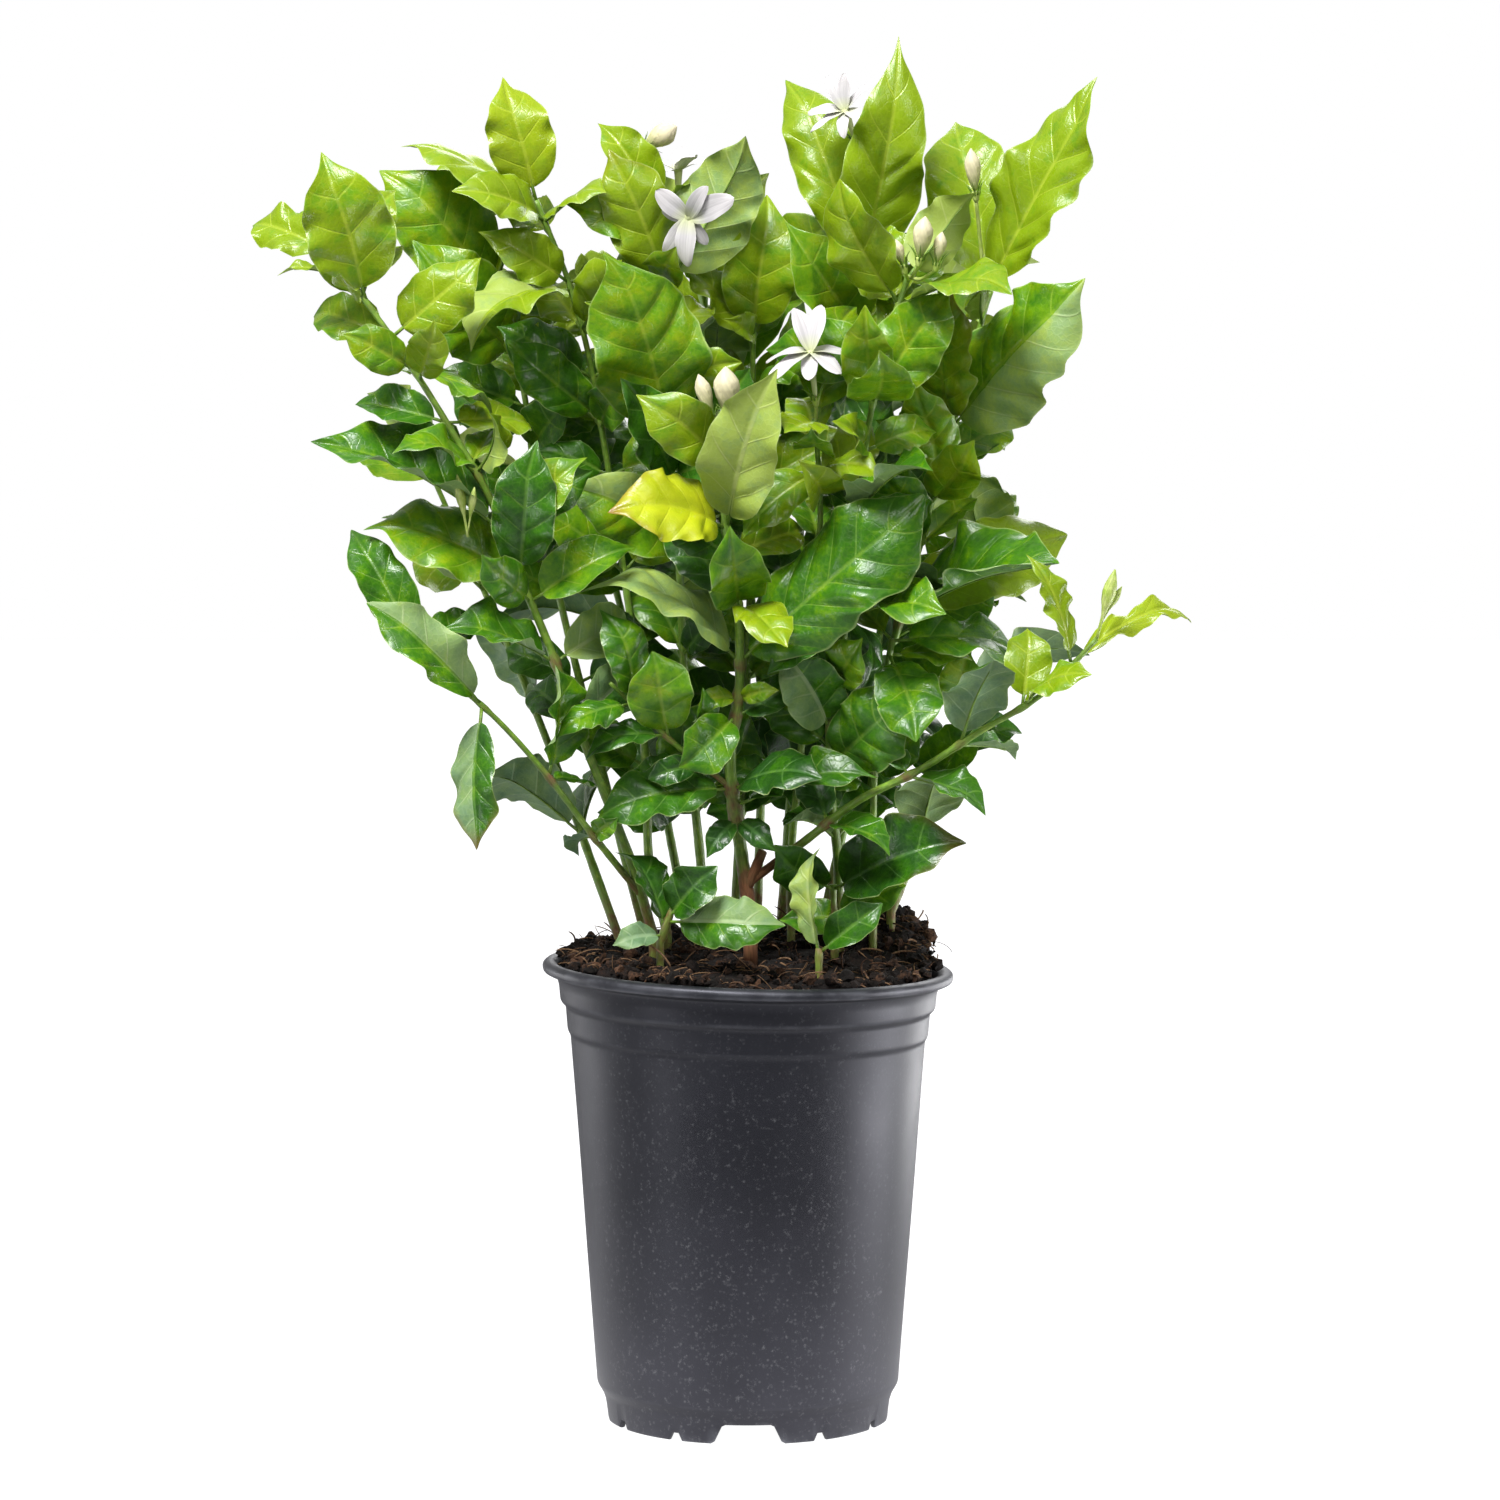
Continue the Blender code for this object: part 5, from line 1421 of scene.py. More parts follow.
# %% Flowers and buds in the way
EXTRA_LEAVES = (20, (28, 50), (0, -0.9, 0.5))  # spacing of pairs, reach and facing
EXTRA_BENDS = 200
EXTRA_ABOVE = 335.0
THICKET = ((-45, 92), (0, 90), (245, 335))  # x, y and z of the dense middle, behind the front shoots
PLACED_EXTRAS = {
    "back_middle": ((205, (26, 50, 470), "front_right", 0.36), (232, (30, 52, 502), "front", 0.34)),
    "right_centre": ((178, (26, 18, 452), "front_left", 0.34),),
}


def flower_frame(axis):
    """Two directions square to a flower's axis, the first to the right of the plant's best side."""
    right = (Vector((1, 0, 0)) - axis * axis.x).normalized()
    return right, axis.cross(right)


def stalk_route(stem, distance, calyx, axis, step):
    """Points of the stalk from a stem to a flower, a step apart, and the base of its calyx."""
    start, _ = point_on(STEMS[stem][0], distance)
    base = calyx - axis * CALYX_LENGTH
    bend = (start + base) / 2 - axis * ((base - start).length * PEDICEL_SAG)
    return even_route(smooth_route([start, bend, base + axis]), step), base


def flower_stalk(stem, distance, calyx, axis):
    """Green stalk from a stem to a flower, and the calyx at its end."""
    route, base = stalk_route(stem, distance, calyx, axis, 10.0)
    return [tube(route, PEDICEL_RADII, 4), tube([base, calyx], CALYX_RADII, FLOWER_SIDES)]


def lobe_frame(axis, turn, lean):
    """The way a lobe runs out from its flower's axis, and the way its upper face looks."""
    right, up = flower_frame(axis)
    outward = right * math.cos(math.radians(turn)) + up * math.sin(math.radians(turn))
    lean = math.radians(lean)
    along = axis * math.cos(lean) + outward * math.sin(lean)
    return along, axis * math.sin(lean) - outward * math.cos(lean)


def lobe_solid(mouth, axis, turn, lean, length):
    """One white lobe of a flower, a bent and pointed blade out of the mouth of its tube."""
    along, face = lobe_frame(axis, turn, lean)
    side = along.cross(face)
    rows = []
    for t, width in LOBE_CUTS:
        centre = mouth + along * (t * length) - face * (LOBE_DROOP * length * t * t)
        half = side * (width * length)
        lift = face * (LOBE_CUP * width * length)
        row = [centre - half + lift, centre, centre + half + lift]
        rows.append(row if t else row[::2])
    rows.append([mouth + (along - face * LOBE_DROOP) * length])
    return plate(rows, face * LOBE_THICKNESS)


def bud_solid(base, tip, radius):
    """A pointed bud, turned about its own axis."""
    axis = (tip - base).normalized()
    right, up = flower_frame(axis)
    verts, faces = [], []
    for share, width in BUD_PROFILE:
        for k in range(BUD_SIDES):
            turn = 2 * math.pi * k / BUD_SIDES
            spoke = right * math.cos(turn) + up * math.sin(turn)
            verts.append(base + (tip - base) * share + spoke * (radius * width))
    verts.append(tip.copy())
    for ring in range(len(BUD_PROFILE) - 1):
        for k in range(BUD_SIDES):
            a, b = ring * BUD_SIDES + k, ring * BUD_SIDES + (k + 1) % BUD_SIDES
            faces.append((a, b, b + BUD_SIDES, a + BUD_SIDES))
    last = (len(BUD_PROFILE) - 1) * BUD_SIDES
    faces += [(last + k, last + (k + 1) % BUD_SIDES, len(verts) - 1) for k in range(BUD_SIDES)]
    faces.append(tuple(range(BUD_SIDES))[::-1])
    return verts, faces


def flower_seats():
    """Every flower and bud: its name, stem, distance up that, the end of its calyx, and its axis."""
    seats = []
    for name, (stem, distance, foot, end, _) in {**BLOOMS, **BUDS}.items():
        foot = Vector(foot)
        axis = (Vector(end) - foot).normalized()
        seats.append((name, stem, distance, foot - axis * SEAT_GAP if name in BUDS else foot, axis))
    return seats


def extra_leaves():
    """More pairs between the ones that the solids have, where the bush is too dense to list them."""
    rows = []
    for name, leaves in PLACED_EXTRAS.items():
        for index, (distance, tip, look, width) in enumerate(leaves):
            root, _ = point_on(STEMS[name][0], distance)
            rows.append((f"{name} extra placed {index}", body_of(name), root, Vector(tip),
                         Vector(FACING[look]), width))
    for name, (route, _) in STEMS.items():
        total = route_length(route)
        grown = grown_leaves(name + " extra", route, 0.1 * total, 0.95 * total, *EXTRA_LEAVES)
        for index, (distance, tip, facing) in enumerate(grown):
            root, _ = point_on(route, distance)
            in_thicket = all(low < place < high for place, (low, high) in zip(root, THICKET))
            if root.z > EXTRA_ABOVE or in_thicket:
                rows.append((f"{name} extra {index}", body_of(name), root, tip, facing, None))
    return rows


def grow_leaves():
    """Every leaf with its name, by the shoot that it is one body with."""
    neighbours = Neighbours()
    neighbours.add("soil", soil_solid())
    neighbours.add("pot", lathe_solid(pot_outline(), POT_SIDES))
    for name, (route, girth) in STEMS.items():
        neighbours.add(body_of(name), stem_solid(name, route, girth))
    for name, stem, distance, calyx, axis in SEATS:
        for solid in flower_stalk(stem, distance, calyx, axis):
            neighbours.add(body_of(stem), solid)
    for name, (_, _, base, tip, radius) in BUDS.items():
        neighbours.add(name, bud_solid(Vector(base), Vector(tip), radius))
    for name, (_, _, calyx, mouth, lobes) in BLOOMS.items():
        calyx, mouth = Vector(calyx), Vector(mouth)
        axis = (mouth - calyx).normalized()
        neighbours.add(name, tube([calyx + axis * SEAT_GAP, mouth], FLOWER_TUBE_RADII, FLOWER_SIDES))
        for lobe in lobes:
            neighbours.add(name, lobe_solid(mouth, axis, *lobe))
    leaves = {}
    every_bend = leaf_bends()
    for rows, bends in ((wanted_leaves(STEMS), every_bend), (extra_leaves(), every_bend[:EXTRA_BENDS])):
        for row in rows:
            leaf = grow_leaf(*row, neighbours, bends)
            if leaf:
                leaves.setdefault(row[1], []).append((row[0], leaf))
    return leaves


SEATS = flower_seats()
LEAVES = grow_leaves()
print("leaves:", sum(len(rows) for rows in LEAVES.values()))

# %% [markdown]
# ## A fine leaf
# A jasmine leaf is an oval blade on a short stalk, folded a little along its midrib, with wavy
# edges. Its side veins, from two pairs on a small leaf to six or more on a long one, lie in grooves
# on the upper side, and the blade swells between them like a quilt. Sculpting could shape one such
# leaf, but hundreds of different ones are best written as a formula over the blade: along it, across
# it, and the veins' own direction.

# %% Blade
VEIN_SPACING = 21.0
ROWS_PER_VEIN = 7
LEAF_COLUMNS = 19  # uneven, so that one column is the midrib
SMALL_ROWS_PER_VEIN = 5
SMALL_COLUMNS = 13
SMALL_BLADE = 34.0
LEAF_THICKNESS = 0.42
VEIN_LEAN = 0.52
ROW_BUNCHING = 1.3
QUILT = 0.025
MARGIN_WAVE = 0.03
GROOVE_MM = 0.4
GROOVE_WIDTH = 1.1
DRAWN_TIP = 0.55
SHOULDER_AT = 0.74
FRILL_LAG = 1.7
# Ranges that each leaf's own draws come from
MORE_VEINS = (1.2, 2.4)
SHOULDERS = (0.06, 0.2)
TIP_PULLS = (0.5, 1.1)
FOLD_STRAY = (-0.3, 0.3)
FRILL_COUNTS = (3.6, 5.4)
LUMPS_ALONG = (1.0, 2.2)
LUMPS_ACROSS = (-0.5, 0.5)
EDGE_ROLLS = (-0.15, 0.45)
FRILL_SHARES = (0.5, 1.2)
QUILT_SHARES = (0.6, 1.3)
TIP_HOOKS = (-0.09, 0.03)
TIP_SWEEPS = (-0.06, 0.06)
SIDE_BOWS = (-0.03, 0.03)
# What the eye notices on single leaves: how yellow and how browned at the tip, how much younger
# than their height tells, and the halves (left and right of the midrib) that are turned over
YELLOWED = {"middle 14": 0.85, "left_mid 2": 0.25, "middle 12": 0.2, "top_right 6": 0.3,
            "middle_arm 9": 0.25}
BROWNED = {"middle 14": 0.8, "left_high_arm 4": 0.5, "low_right 0": 0.35, "centre_left 2": 0.3,
           "top_right 3": 0.6}
YOUNGER = {"middle_arm 6": 0.4, "middle_arm 7": 0.6, "middle_arm 8": 0.65, "middle_arm 9": 0.7,
           "middle 12": 0.3, "right_centre 0": 0.3, "right_centre 1": 0.3, "middle 7": 0.3,
           "middle 8": 0.3, "middle 13": 0.3, "left_high_arm 5": -0.25, "left_high_arm 6": -0.25,
           "low_right 0": -0.6, "low_right 1": -0.4, "low_pale 1": -0.5, "low_front 2": -0.2}
WHOLLY, LEFT_HALF, RIGHT_HALF = (-1, -1), (-1, 1), (1, -1)
TURNED = {"middle 13": WHOLLY, "middle 9": WHOLLY, "low_front 3": WHOLLY, "low_pale 0": WHOLLY,
          "left_high 1": WHOLLY, "low_front 1": LEFT_HALF, "left_high low 3": LEFT_HALF,
          "right_centre 4": LEFT_HALF, "left_high_arm 5": RIGHT_HALF, "left_high_arm 4": RIGHT_HALF,
          "top_right 2": RIGHT_HALF, "top_right 8": RIGHT_HALF, "centre_left 6": RIGHT_HALF,
          "left_mid 4": RIGHT_HALF}


def age_of(name, leaf):
    """0 for a young leaf, 1 for an old one, from its height and a draw of its own."""
    draw = random.Random("age " + name)
    height = leaf["root"].z + 0.4 * leaf["length"]
    to_tip = (leaf["root"] - STEMS[name.split()[0]][0][-1]).length
    age = 0.8 - 0.55 * (height - 240) / 250 - 0.35 * math.exp(-to_tip / 40) - YOUNGER.get(name, 0.0)
    return min(1.0, max(0.0, age + draw.uniform(-0.3, 0.3)))


def blade_grid(veins, small):
    """Places along (t) and across (s) a blade. Its rows run out along the side veins, each of which
    leaves the midrib and bends towards the tip, so that a vein never cuts across a row."""
    rows = veins * (SMALL_ROWS_PER_VEIN if small else ROWS_PER_VEIN) + 1
    u = np.concatenate([[0, 0.004, 0.013], np.linspace(0, 1, rows)[1:]])
    v = np.linspace(-1, 1, SMALL_COLUMNS if small else LEAF_COLUMNS)
    foot, s = np.meshgrid(u, 0.6 * v + 0.4 * np.sin(np.pi / 2 * v), indexing="ij")
    t = 0.003 + 0.995 * foot ** (ROW_BUNCHING * (1 - VEIN_LEAN * np.abs(s) ** 0.85))
    phase = np.repeat((u * veins)[:, None], len(v), axis=1)
    edge_u, edge_v = np.meshgrid(2 * u - 1, v, indexing="ij")
    return t, s, phase, (1 - edge_v ** 8) * (1 - edge_u ** 24)


def turned(side, face, angle):
    """Two directions, turned by an angle at each point of a grid."""
    cos, sin = np.cos(angle)[..., None], np.sin(angle)[..., None]
    return side * cos + face * sin, face * cos - side * sin


def blade_frame(leaf, t):
    """The midline of a blade, and the two directions of its twisted section, at each t."""
    along, normal, root = (np.array(leaf[key]) for key in ("along", "normal", "root"))
    run = (leaf["stalk"] + t * leaf["blade"]) / leaf["length"]
    lift = leaf["arch"] * 4 * run * (1 - run) - leaf["curl"] * np.maximum(0, (t - 0.6) / 0.4) ** 2
    centre = root + (along * run[..., None] + normal * lift[..., None]) * leaf["length"]
    return centre, *turned(np.cross(along, normal), normal, leaf["twist"] * t * t)


def blade_width(leaf, t, s, phase, draw):
    """Half width of a blade: its outline, a fuller shoulder, a drawn tip, and a scalloped edge."""
    half = leaf["half_width"] * outline(t, leaf["taper"])
    half = half * (1 + draw.uniform(*SHOULDERS) * np.exp(-((t - SHOULDER_AT) / 0.12) ** 2))
    half = half * (1 - DRAWN_TIP * draw.uniform(*TIP_PULLS) * smooth_share(t, 0.8, 1.0))
    return half * (1 + 0.025 * np.cos(2 * np.pi * phase) * np.abs(s) ** 3)


def blade_rise(leaf, t, s, half, fold, phase, draw):
    """How far a blade rises off its flat section: fold, rolled edge, waves, quilt and groove."""
    blade, size, body = leaf["blade"], np.abs(s), 4 * t * (1 - t)
    lag = np.where(s > 0, WAVE_LAG, 0.0)
    sway = np.sin(2 * np.pi * leaf["waves"] * t + leaf["phase"] + lag)
    frill = np.sin(2 * np.pi * draw.uniform(*FRILL_COUNTS) * t + 3 * leaf["phase"] + FRILL_LAG * lag)
    lump = draw.uniform(*LUMPS_ALONG) * t + draw.uniform(*LUMPS_ACROSS) * s
    lump = np.sin(2 * np.pi * lump + draw.uniform(0, 6))
    pillow = np.abs(np.sin(np.pi * phase)) ** 0.75 - 0.5
    pillow = pillow * (0.75 + 0.45 * np.sin(1.9 * phase + 2.3 * s + draw.uniform(0, 6)))
    rise = size * half * np.sin(fold) - draw.uniform(*EDGE_ROLLS) * half * size ** 2
    rise = rise + leaf["wave"] * sway * s ** 2 * body
    rise = rise + MARGIN_WAVE * blade * draw.uniform(*FRILL_SHARES) * frill * size ** 3 * body
    pillow = pillow * np.sin(np.pi * size) ** 0.6 * body ** 0.5
    rise = rise + QUILT * blade * draw.uniform(*QUILT_SHARES) * pillow
    return rise + 0.022 * blade * lump * size * body - GROOVE_MM * np.exp(-(half * s / GROOVE_WIDTH) ** 2)


def leaf_faces(name, leaf):
    """Upper and lower sheet of a blade, each with its notes, and the line of its rib."""
    draw = random.Random("fine " + name)
    blade = leaf["blade"]
    small = blade < SMALL_BLADE or "extra" in name
    veins = round(blade / VEIN_SPACING + draw.uniform(*MORE_VEINS))
    t, s, phase, thickness = blade_grid(veins, small)
    centre, level, above = blade_frame(leaf, t)
    half = blade_width(leaf, t, s, phase, draw)
    fold = leaf["fold"] * (1 - 0.5 * t) * (1 + draw.uniform(*FOLD_STRAY) * np.sign(s))
    rise = blade_rise(leaf, t, s, half, fold, phase, draw)
    hook = np.clip((t - 0.7) / 0.3, 0, 1) ** 2
    rise = rise + draw.uniform(*TIP_HOOKS) * blade * hook
    sweep = draw.uniform(*TIP_SWEEPS) * blade * hook + draw.uniform(*SIDE_BOWS) * blade * 4 * t * (1 - t)
    surface = centre + level * (s * half * np.cos(fold) + sweep)[..., None] + above * rise[..., None]
    thick = above * (LEAF_THICKNESS / 2 * thickness)[..., None]
    notes = {
        "leaf_place": np.stack([s, t, np.where(s > 0, *TURNED.get(name, (1, 1))[::-1])], axis=2),
        "leaf_vein": np.stack([phase, np.full_like(s, blade / veins), half * s], axis=2),
        "leaf_habit": np.array([age_of(name, leaf), YELLOWED.get(name, 0.0), BROWNED.get(name, 0.0)]),
        "leaf_flat": np.stack([half * s, t * blade, np.full_like(s, 40 * draw.random())], axis=2),
        "stem_place": np.zeros(3),
    }
    under = {**notes, "leaf_place": notes["leaf_place"] * (1, 1, -1)}
    rib = surface[:, (surface.shape[1] - 1) // 2] - above[:, 0] * 0.3
    return (surface + thick, notes), (surface - thick, under), rib


print("rows from one side vein to the next:", ROWS_PER_VEIN)

# %% [markdown]
# ### Stems, stalks and ribs
# Canes, leaf stalks and ribs are all tapering tubes. Low down, a cane turns to brown wood and
# swells at its joints, where the pairs of leaves sit or have fallen.

# %% Tubes
CANE_SIDES = 10
CANE_STEP = 3.0
NODE_SWELL = 0.32
NODE_WIDTH = 2.4
STALK_SIDES = 6
RIB_RADII = (0.62, 0.1)
WOODINESS = {"middle": (1.0, 17.0), "middle_stub": (0.9, 20.0), "middle_arm": (0.9, 22.0)}
GREEN_WOODINESS = (0.42, 16.0)
NO_LEAF = {f"leaf_{kind}": np.zeros(3) for kind in ("place", "vein", "habit", "flat")}


def fine_tube(route, radii, sides, wood):
    """Strip round a route and its notes: turn, distance along, and how woody it is at each ring."""
    route = array(route)
    along = np.gradient(route, axis=0)
    along /= np.linalg.norm(along, axis=1)[:, None]
    steps = np.linalg.norm(np.diff(route, axis=0), axis=1)
    distance = np.concatenate([[0], np.cumsum(steps)])
    side = np.array((1.0, 0.0, 0.0))
    rings = []
    for centre, direction, radius in zip(route, along, np.broadcast_to(radii, len(route))):
        side = side - direction * side.dot(direction)
        side /= np.linalg.norm(side)
        other = np.cross(direction, side)
        turn = 2 * np.pi * np.arange(sides)[:, None] / sides
        rings.append(centre + (side * np.cos(turn) + other * np.sin(turn)) * radius)
    strip = np.array(rings)
    turns = np.broadcast_to(np.arange(sides) / sides, strip.shape[:2])
    notes = np.stack([turns, np.broadcast_to(distance[:, None], turns.shape),
                      np.broadcast_to(np.asarray(wood, float).reshape(-1, 1), turns.shape)], axis=2)
    return strip, {**NO_LEAF, "stem_place": notes}


def woodiness(name, distance):
    """How brown a cane is at a distance up it: the middle shoot is woody to its fork."""
    most, reach = WOODINESS.get(name, GREEN_WOODINESS)
    return most * (1 - smooth_share(distance, 0.5 * reach, 1.8 * reach))


def cane(name):
    """A stem's tube, from its foot in the peat to its tip."""
    coarse, girth = STEMS[name]
    joints = [row[0] for row in SHOOTS.get(name, {}).get("leaves", [])]
    route = even_route(smooth_route(coarse), CANE_STEP)
    distance = np.linspace(0, route_length(coarse), len(route))
    share = distance / distance[-1]
    radii = (girth[0] + (girth[1] - girth[0]) * share) / 2
    swell = np.zeros(len(route))
    for joint in joints:
        swell = swell + np.exp(-((distance - joint) / NODE_WIDTH) ** 2)
    swell = np.minimum(swell, 1.0)
    draw = random.Random("cane " + name)
    wobble = np.array([draw.uniform(-0.04, 0.04) for _ in route])
    wood = woodiness(name, distance)
    wood = np.maximum(wood, 0.45 * swell * (1 - smooth_share(share, 0.4, 0.9)))
    radii = radii * (1 + NODE_SWELL * swell + wobble)
    if body_of(name) == name:
        feet = [route[0] - Vector((0, 0, depth)) for depth in (HOLE_DEPTH, HOLE_DEPTH / 2)]
        route = feet + route
        radii = np.concatenate([[radii[0]] * 2, radii])
        wood = np.concatenate([[wood[0]] * 2, wood])
    return fine_tube(route, radii, CANE_SIDES, wood)


def stalk_and_rib(leaf, rib):
    """A leaf's stalk, running on under the blade as its midrib."""
    rib = rib[:-3:2]
    taper = np.linspace(1, 0.1, len(rib)) ** 0.8
    route = np.vstack([np.array(leaf["root"])[None], rib])
    radii = [STALK_HALF_WIDTH * 0.95, *(RIB_RADII[0] * taper + RIB_RADII[1])]
    return fine_tube(route, radii, STALK_SIDES, 0.0)


print("cane rings every mm:", CANE_STEP)

# %% [markdown]
# ### Fibres in the peat
# Peat is full of fine roots and moss fibres, paler than its crumbs. Most lie along the surface, and a
# few stand off it as hairs, most of all where it meets the rim. They are thin curved tubes, as the
# stalks are, and share one mesh.

# %% Fibres
FIBRES = 520
FIBRE_STEPS = 6
FIBRE_SAG = 0.12
FIBRE_RADII = (0.14, 0.42)
FIBRE_LENGTHS = (3.5, 15)
FIBRE_SIDES = 4
LYING = (0.85, (-0.1, 0.45))  # share of the fibres that lie along the peat, and their rise in radians
STANDING = (0.5, 1.2)
RIM_HAIRS = 12
HAIR_CIRCLE = 76
HAIR_TURNS = (150, 250)
HAIR_LENGTHS = (4, 9)
HAIR_RISE = (0.5, 1.3)


def fibre_strip(draw, spot, length, rise):
    """A thin, curved fibre from a spot on the peat, with the shade it keeps for the finish."""
    x, y = spot
    heading, bend = draw.uniform(0, 2 * math.pi), draw.uniform(-1.4, 1.4)
    here = Vector((x, y, rough_soil(x, y) + draw.uniform(0.3, 1.6)))
    route = [here]
    for _ in range(FIBRE_STEPS):
        heading += bend / FIBRE_STEPS
        ahead = Vector((*on_circle(math.cos(rise), heading), math.sin(rise)))
        here = here + ahead * (length / FIBRE_STEPS)
        rise -= FIBRE_SAG
        route.append(here)
    radius = draw.uniform(*FIBRE_RADII)
    radii = radius * np.array([0.6] + [1.0] * (FIBRE_STEPS - 1) + [0.3])
    strip, _ = fine_tube(route, radii, FIBRE_SIDES, 0.0)
    return strip, {"peat_shade": np.full(3, draw.uniform(0.35, 1.15))}


def add_fibres():
    """All the fibres of the peat in one piece."""
    draw = random.Random(PEAT_SEED + 1)
    work = Patchwork()
    for _ in range(FIBRES):
        rise = draw.uniform(*(LYING[1] if draw.random() < LYING[0] else STANDING))
        work.add(*fibre_strip(draw, soil_spot(draw), draw.uniform(*FIBRE_LENGTHS), rise), loop=True)
    for _ in range(RIM_HAIRS):
        spot = on_circle(HAIR_CIRCLE, draw.uniform(*(math.radians(turn) for turn in HAIR_TURNS)))
        work.add(*fibre_strip(draw, spot, draw.uniform(*HAIR_LENGTHS), draw.uniform(*HAIR_RISE)), loop=True)
    return work.build("peat_fibres", [peat_finish("sphagnum_peat_fibres", "1A100A", "3E291B", "7C6046")])


place(add_fibres(), "peat")
print("fibres:", FIBRES + RIM_HAIRS)

# %% [markdown]
# ## Flowers
# An Arabian jasmine flower has a slim tube and a wheel of white lobes, a few of them double. Each
# lobe is an oval, cupped blade that droops at its tip. It hangs on a green stalk, in a small cup with
# narrow, spreading sepals. The lobes are strips as the leaves are, with a fold down the middle.

# %% Lobes, tubes and sepals
LOBE_ROWS = 22
LOBE_COLUMNS = 13
LOBE_HOOKS = (0.02, 0.2)
LOBE_TWIST = 24
PETAL_THICKNESS = 0.35
SEPALS = 7
SEPAL_LENGTH = 6.0
SEPAL_RADII = (0.42, 0.4, 0.32, 0.2, 0.05)
PALE_STALK = -0.55  # paler than the green of a cane, on the scale that runs to 1 for brown wood


def lobe_faces(mouth, axis, turn, lean, length, draw):
    """Both sheets of a flower's lobe, with its notes: across, along and a draw."""
    along, face = (np.array(way) for way in lobe_frame(axis, turn, lean))
    u, v = np.linspace(0, 1, LOBE_ROWS), np.linspace(-1, 1, LOBE_COLUMNS)
    t, s = np.meshgrid(0.998 * u, np.sin(np.pi / 2 * v) * 0.5 + 0.5 * v, indexing="ij")
    edge_u, edge_v = np.meshgrid(2 * u - 1, v, indexing="ij")
    half = length * LOBE_CUTS[1][1] * 3.0 * (t + 0.02) ** 0.6 * (1 - t) ** 0.55 * draw.uniform(0.85, 1.1)
    cup = LOBE_CUP * half * s ** 2 * (1 - 1.3 * t)
    crease = -0.05 * length * np.exp(-(s / 0.12) ** 2) * t * (1 - t)
    wave = 0.03 * length * np.sin(2 * np.pi * draw.uniform(1.2, 2.0) * t + draw.uniform(0, 6) + 1.8 * (s > 0))
    rise = cup + crease + wave * s ** 2 * t - draw.uniform(*LOBE_HOOKS) * length * t ** 4
    twist = math.radians(draw.uniform(-LOBE_TWIST, LOBE_TWIST)) * t * t
    level, above = turned(np.cross(along, face), face, twist)
    surface = np.array(mouth) + along * (t * length)[..., None] + level * (s * half)[..., None]
    surface = surface - face * (LOBE_DROOP * length * t * t)[..., None] + above * rise[..., None]
    thick = above * (PETAL_THICKNESS / 2 * (1 - edge_v ** 8) * (1 - edge_u ** 24))[..., None]
    notes = {"petal_place": np.stack([s, t, np.full_like(s, draw.random())], axis=2)}
    return (surface + thick, notes), (surface - thick, notes)


def add_flower(name):
    """The flower's tube and lobes, as one piece."""
    _, _, calyx, mouth, lobes = BLOOMS[name]
    calyx, mouth = Vector(calyx), Vector(mouth)
    axis = (mouth - calyx).normalized()
    draw = random.Random("petals " + name)
    work = Patchwork()
    for lobe in lobes:
        for under, (strip, notes) in enumerate(lobe_faces(mouth, axis, *lobe, draw)):
            work.add(strip, notes, under=bool(under))
    low, high = FLOWER_TUBE_RADII
    start = calyx + axis * SEAT_GAP
    shares = np.linspace(0, 1, 9)
    route = [start + (mouth + axis * 0.6 - start) * float(share) for share in shares]
    radii = low * 0.8 + (high - low) * shares ** 3 + 0.25 * np.sin(np.pi * shares)
    strip, notes = fine_tube(route, radii, 14, 0.0)
    work.add(strip, {"petal_place": notes["stem_place"] * (1, 0, 0) + (0, -0.5, 0)}, loop=True)
    return work.build(name.replace("bloom", "petals"), [PETAL])


def stalk_strips(name, stem, distance, calyx, axis):
    """Green stalk, cup and sepals under a flower or a bud."""
    route, base = stalk_route(stem, distance, calyx, axis, 2.0)
    radii = np.linspace(*PEDICEL_RADII, len(route)) * 0.8
    strips = [fine_tube(route, radii, 8, PALE_STALK)]
    shares = np.linspace(0, 1, 7)
    cup = [base + axis * (CALYX_LENGTH * float(share)) for share in shares]
    swell = CALYX_RADII[0] + (CALYX_RADII[1] - CALYX_RADII[0]) * shares ** 0.6
    strips.append(fine_tube(cup, swell, 12, PALE_STALK))
    right, up = flower_frame(axis)
    draw = random.Random("sepals " + name)
    for index in range(SEPALS):
        turn = 2 * math.pi * (index + draw.uniform(-0.2, 0.2)) / SEPALS
        out = right * math.cos(turn) + up * math.sin(turn)
        reach = SEPAL_LENGTH * draw.uniform(0.7, 1.15)
        foot = calyx - axis * 1.2 + out * (CALYX_RADII[1] * 0.85)
        spread = draw.uniform(0.35, 0.9)
        path = [foot + axis * (reach * k) + out * (reach * spread * k * k)
                for k in (0, 0.25, 0.5, 0.75, 1.0)]
        strips.append(fine_tube(path, SEPAL_RADII, 5, 0.0))
    return strips


print("sepals on each flower:", SEPALS)

# %% [markdown]
# ### Buds
# A jasmine bud is a pointed, cream egg. Its lobes are wound round each other, which shows as
# slanting seams from its base to its tip.

# %% Buds
BUD_RINGS = 22
BUD_COLUMNS = 30
BUD_SEAMS = 5


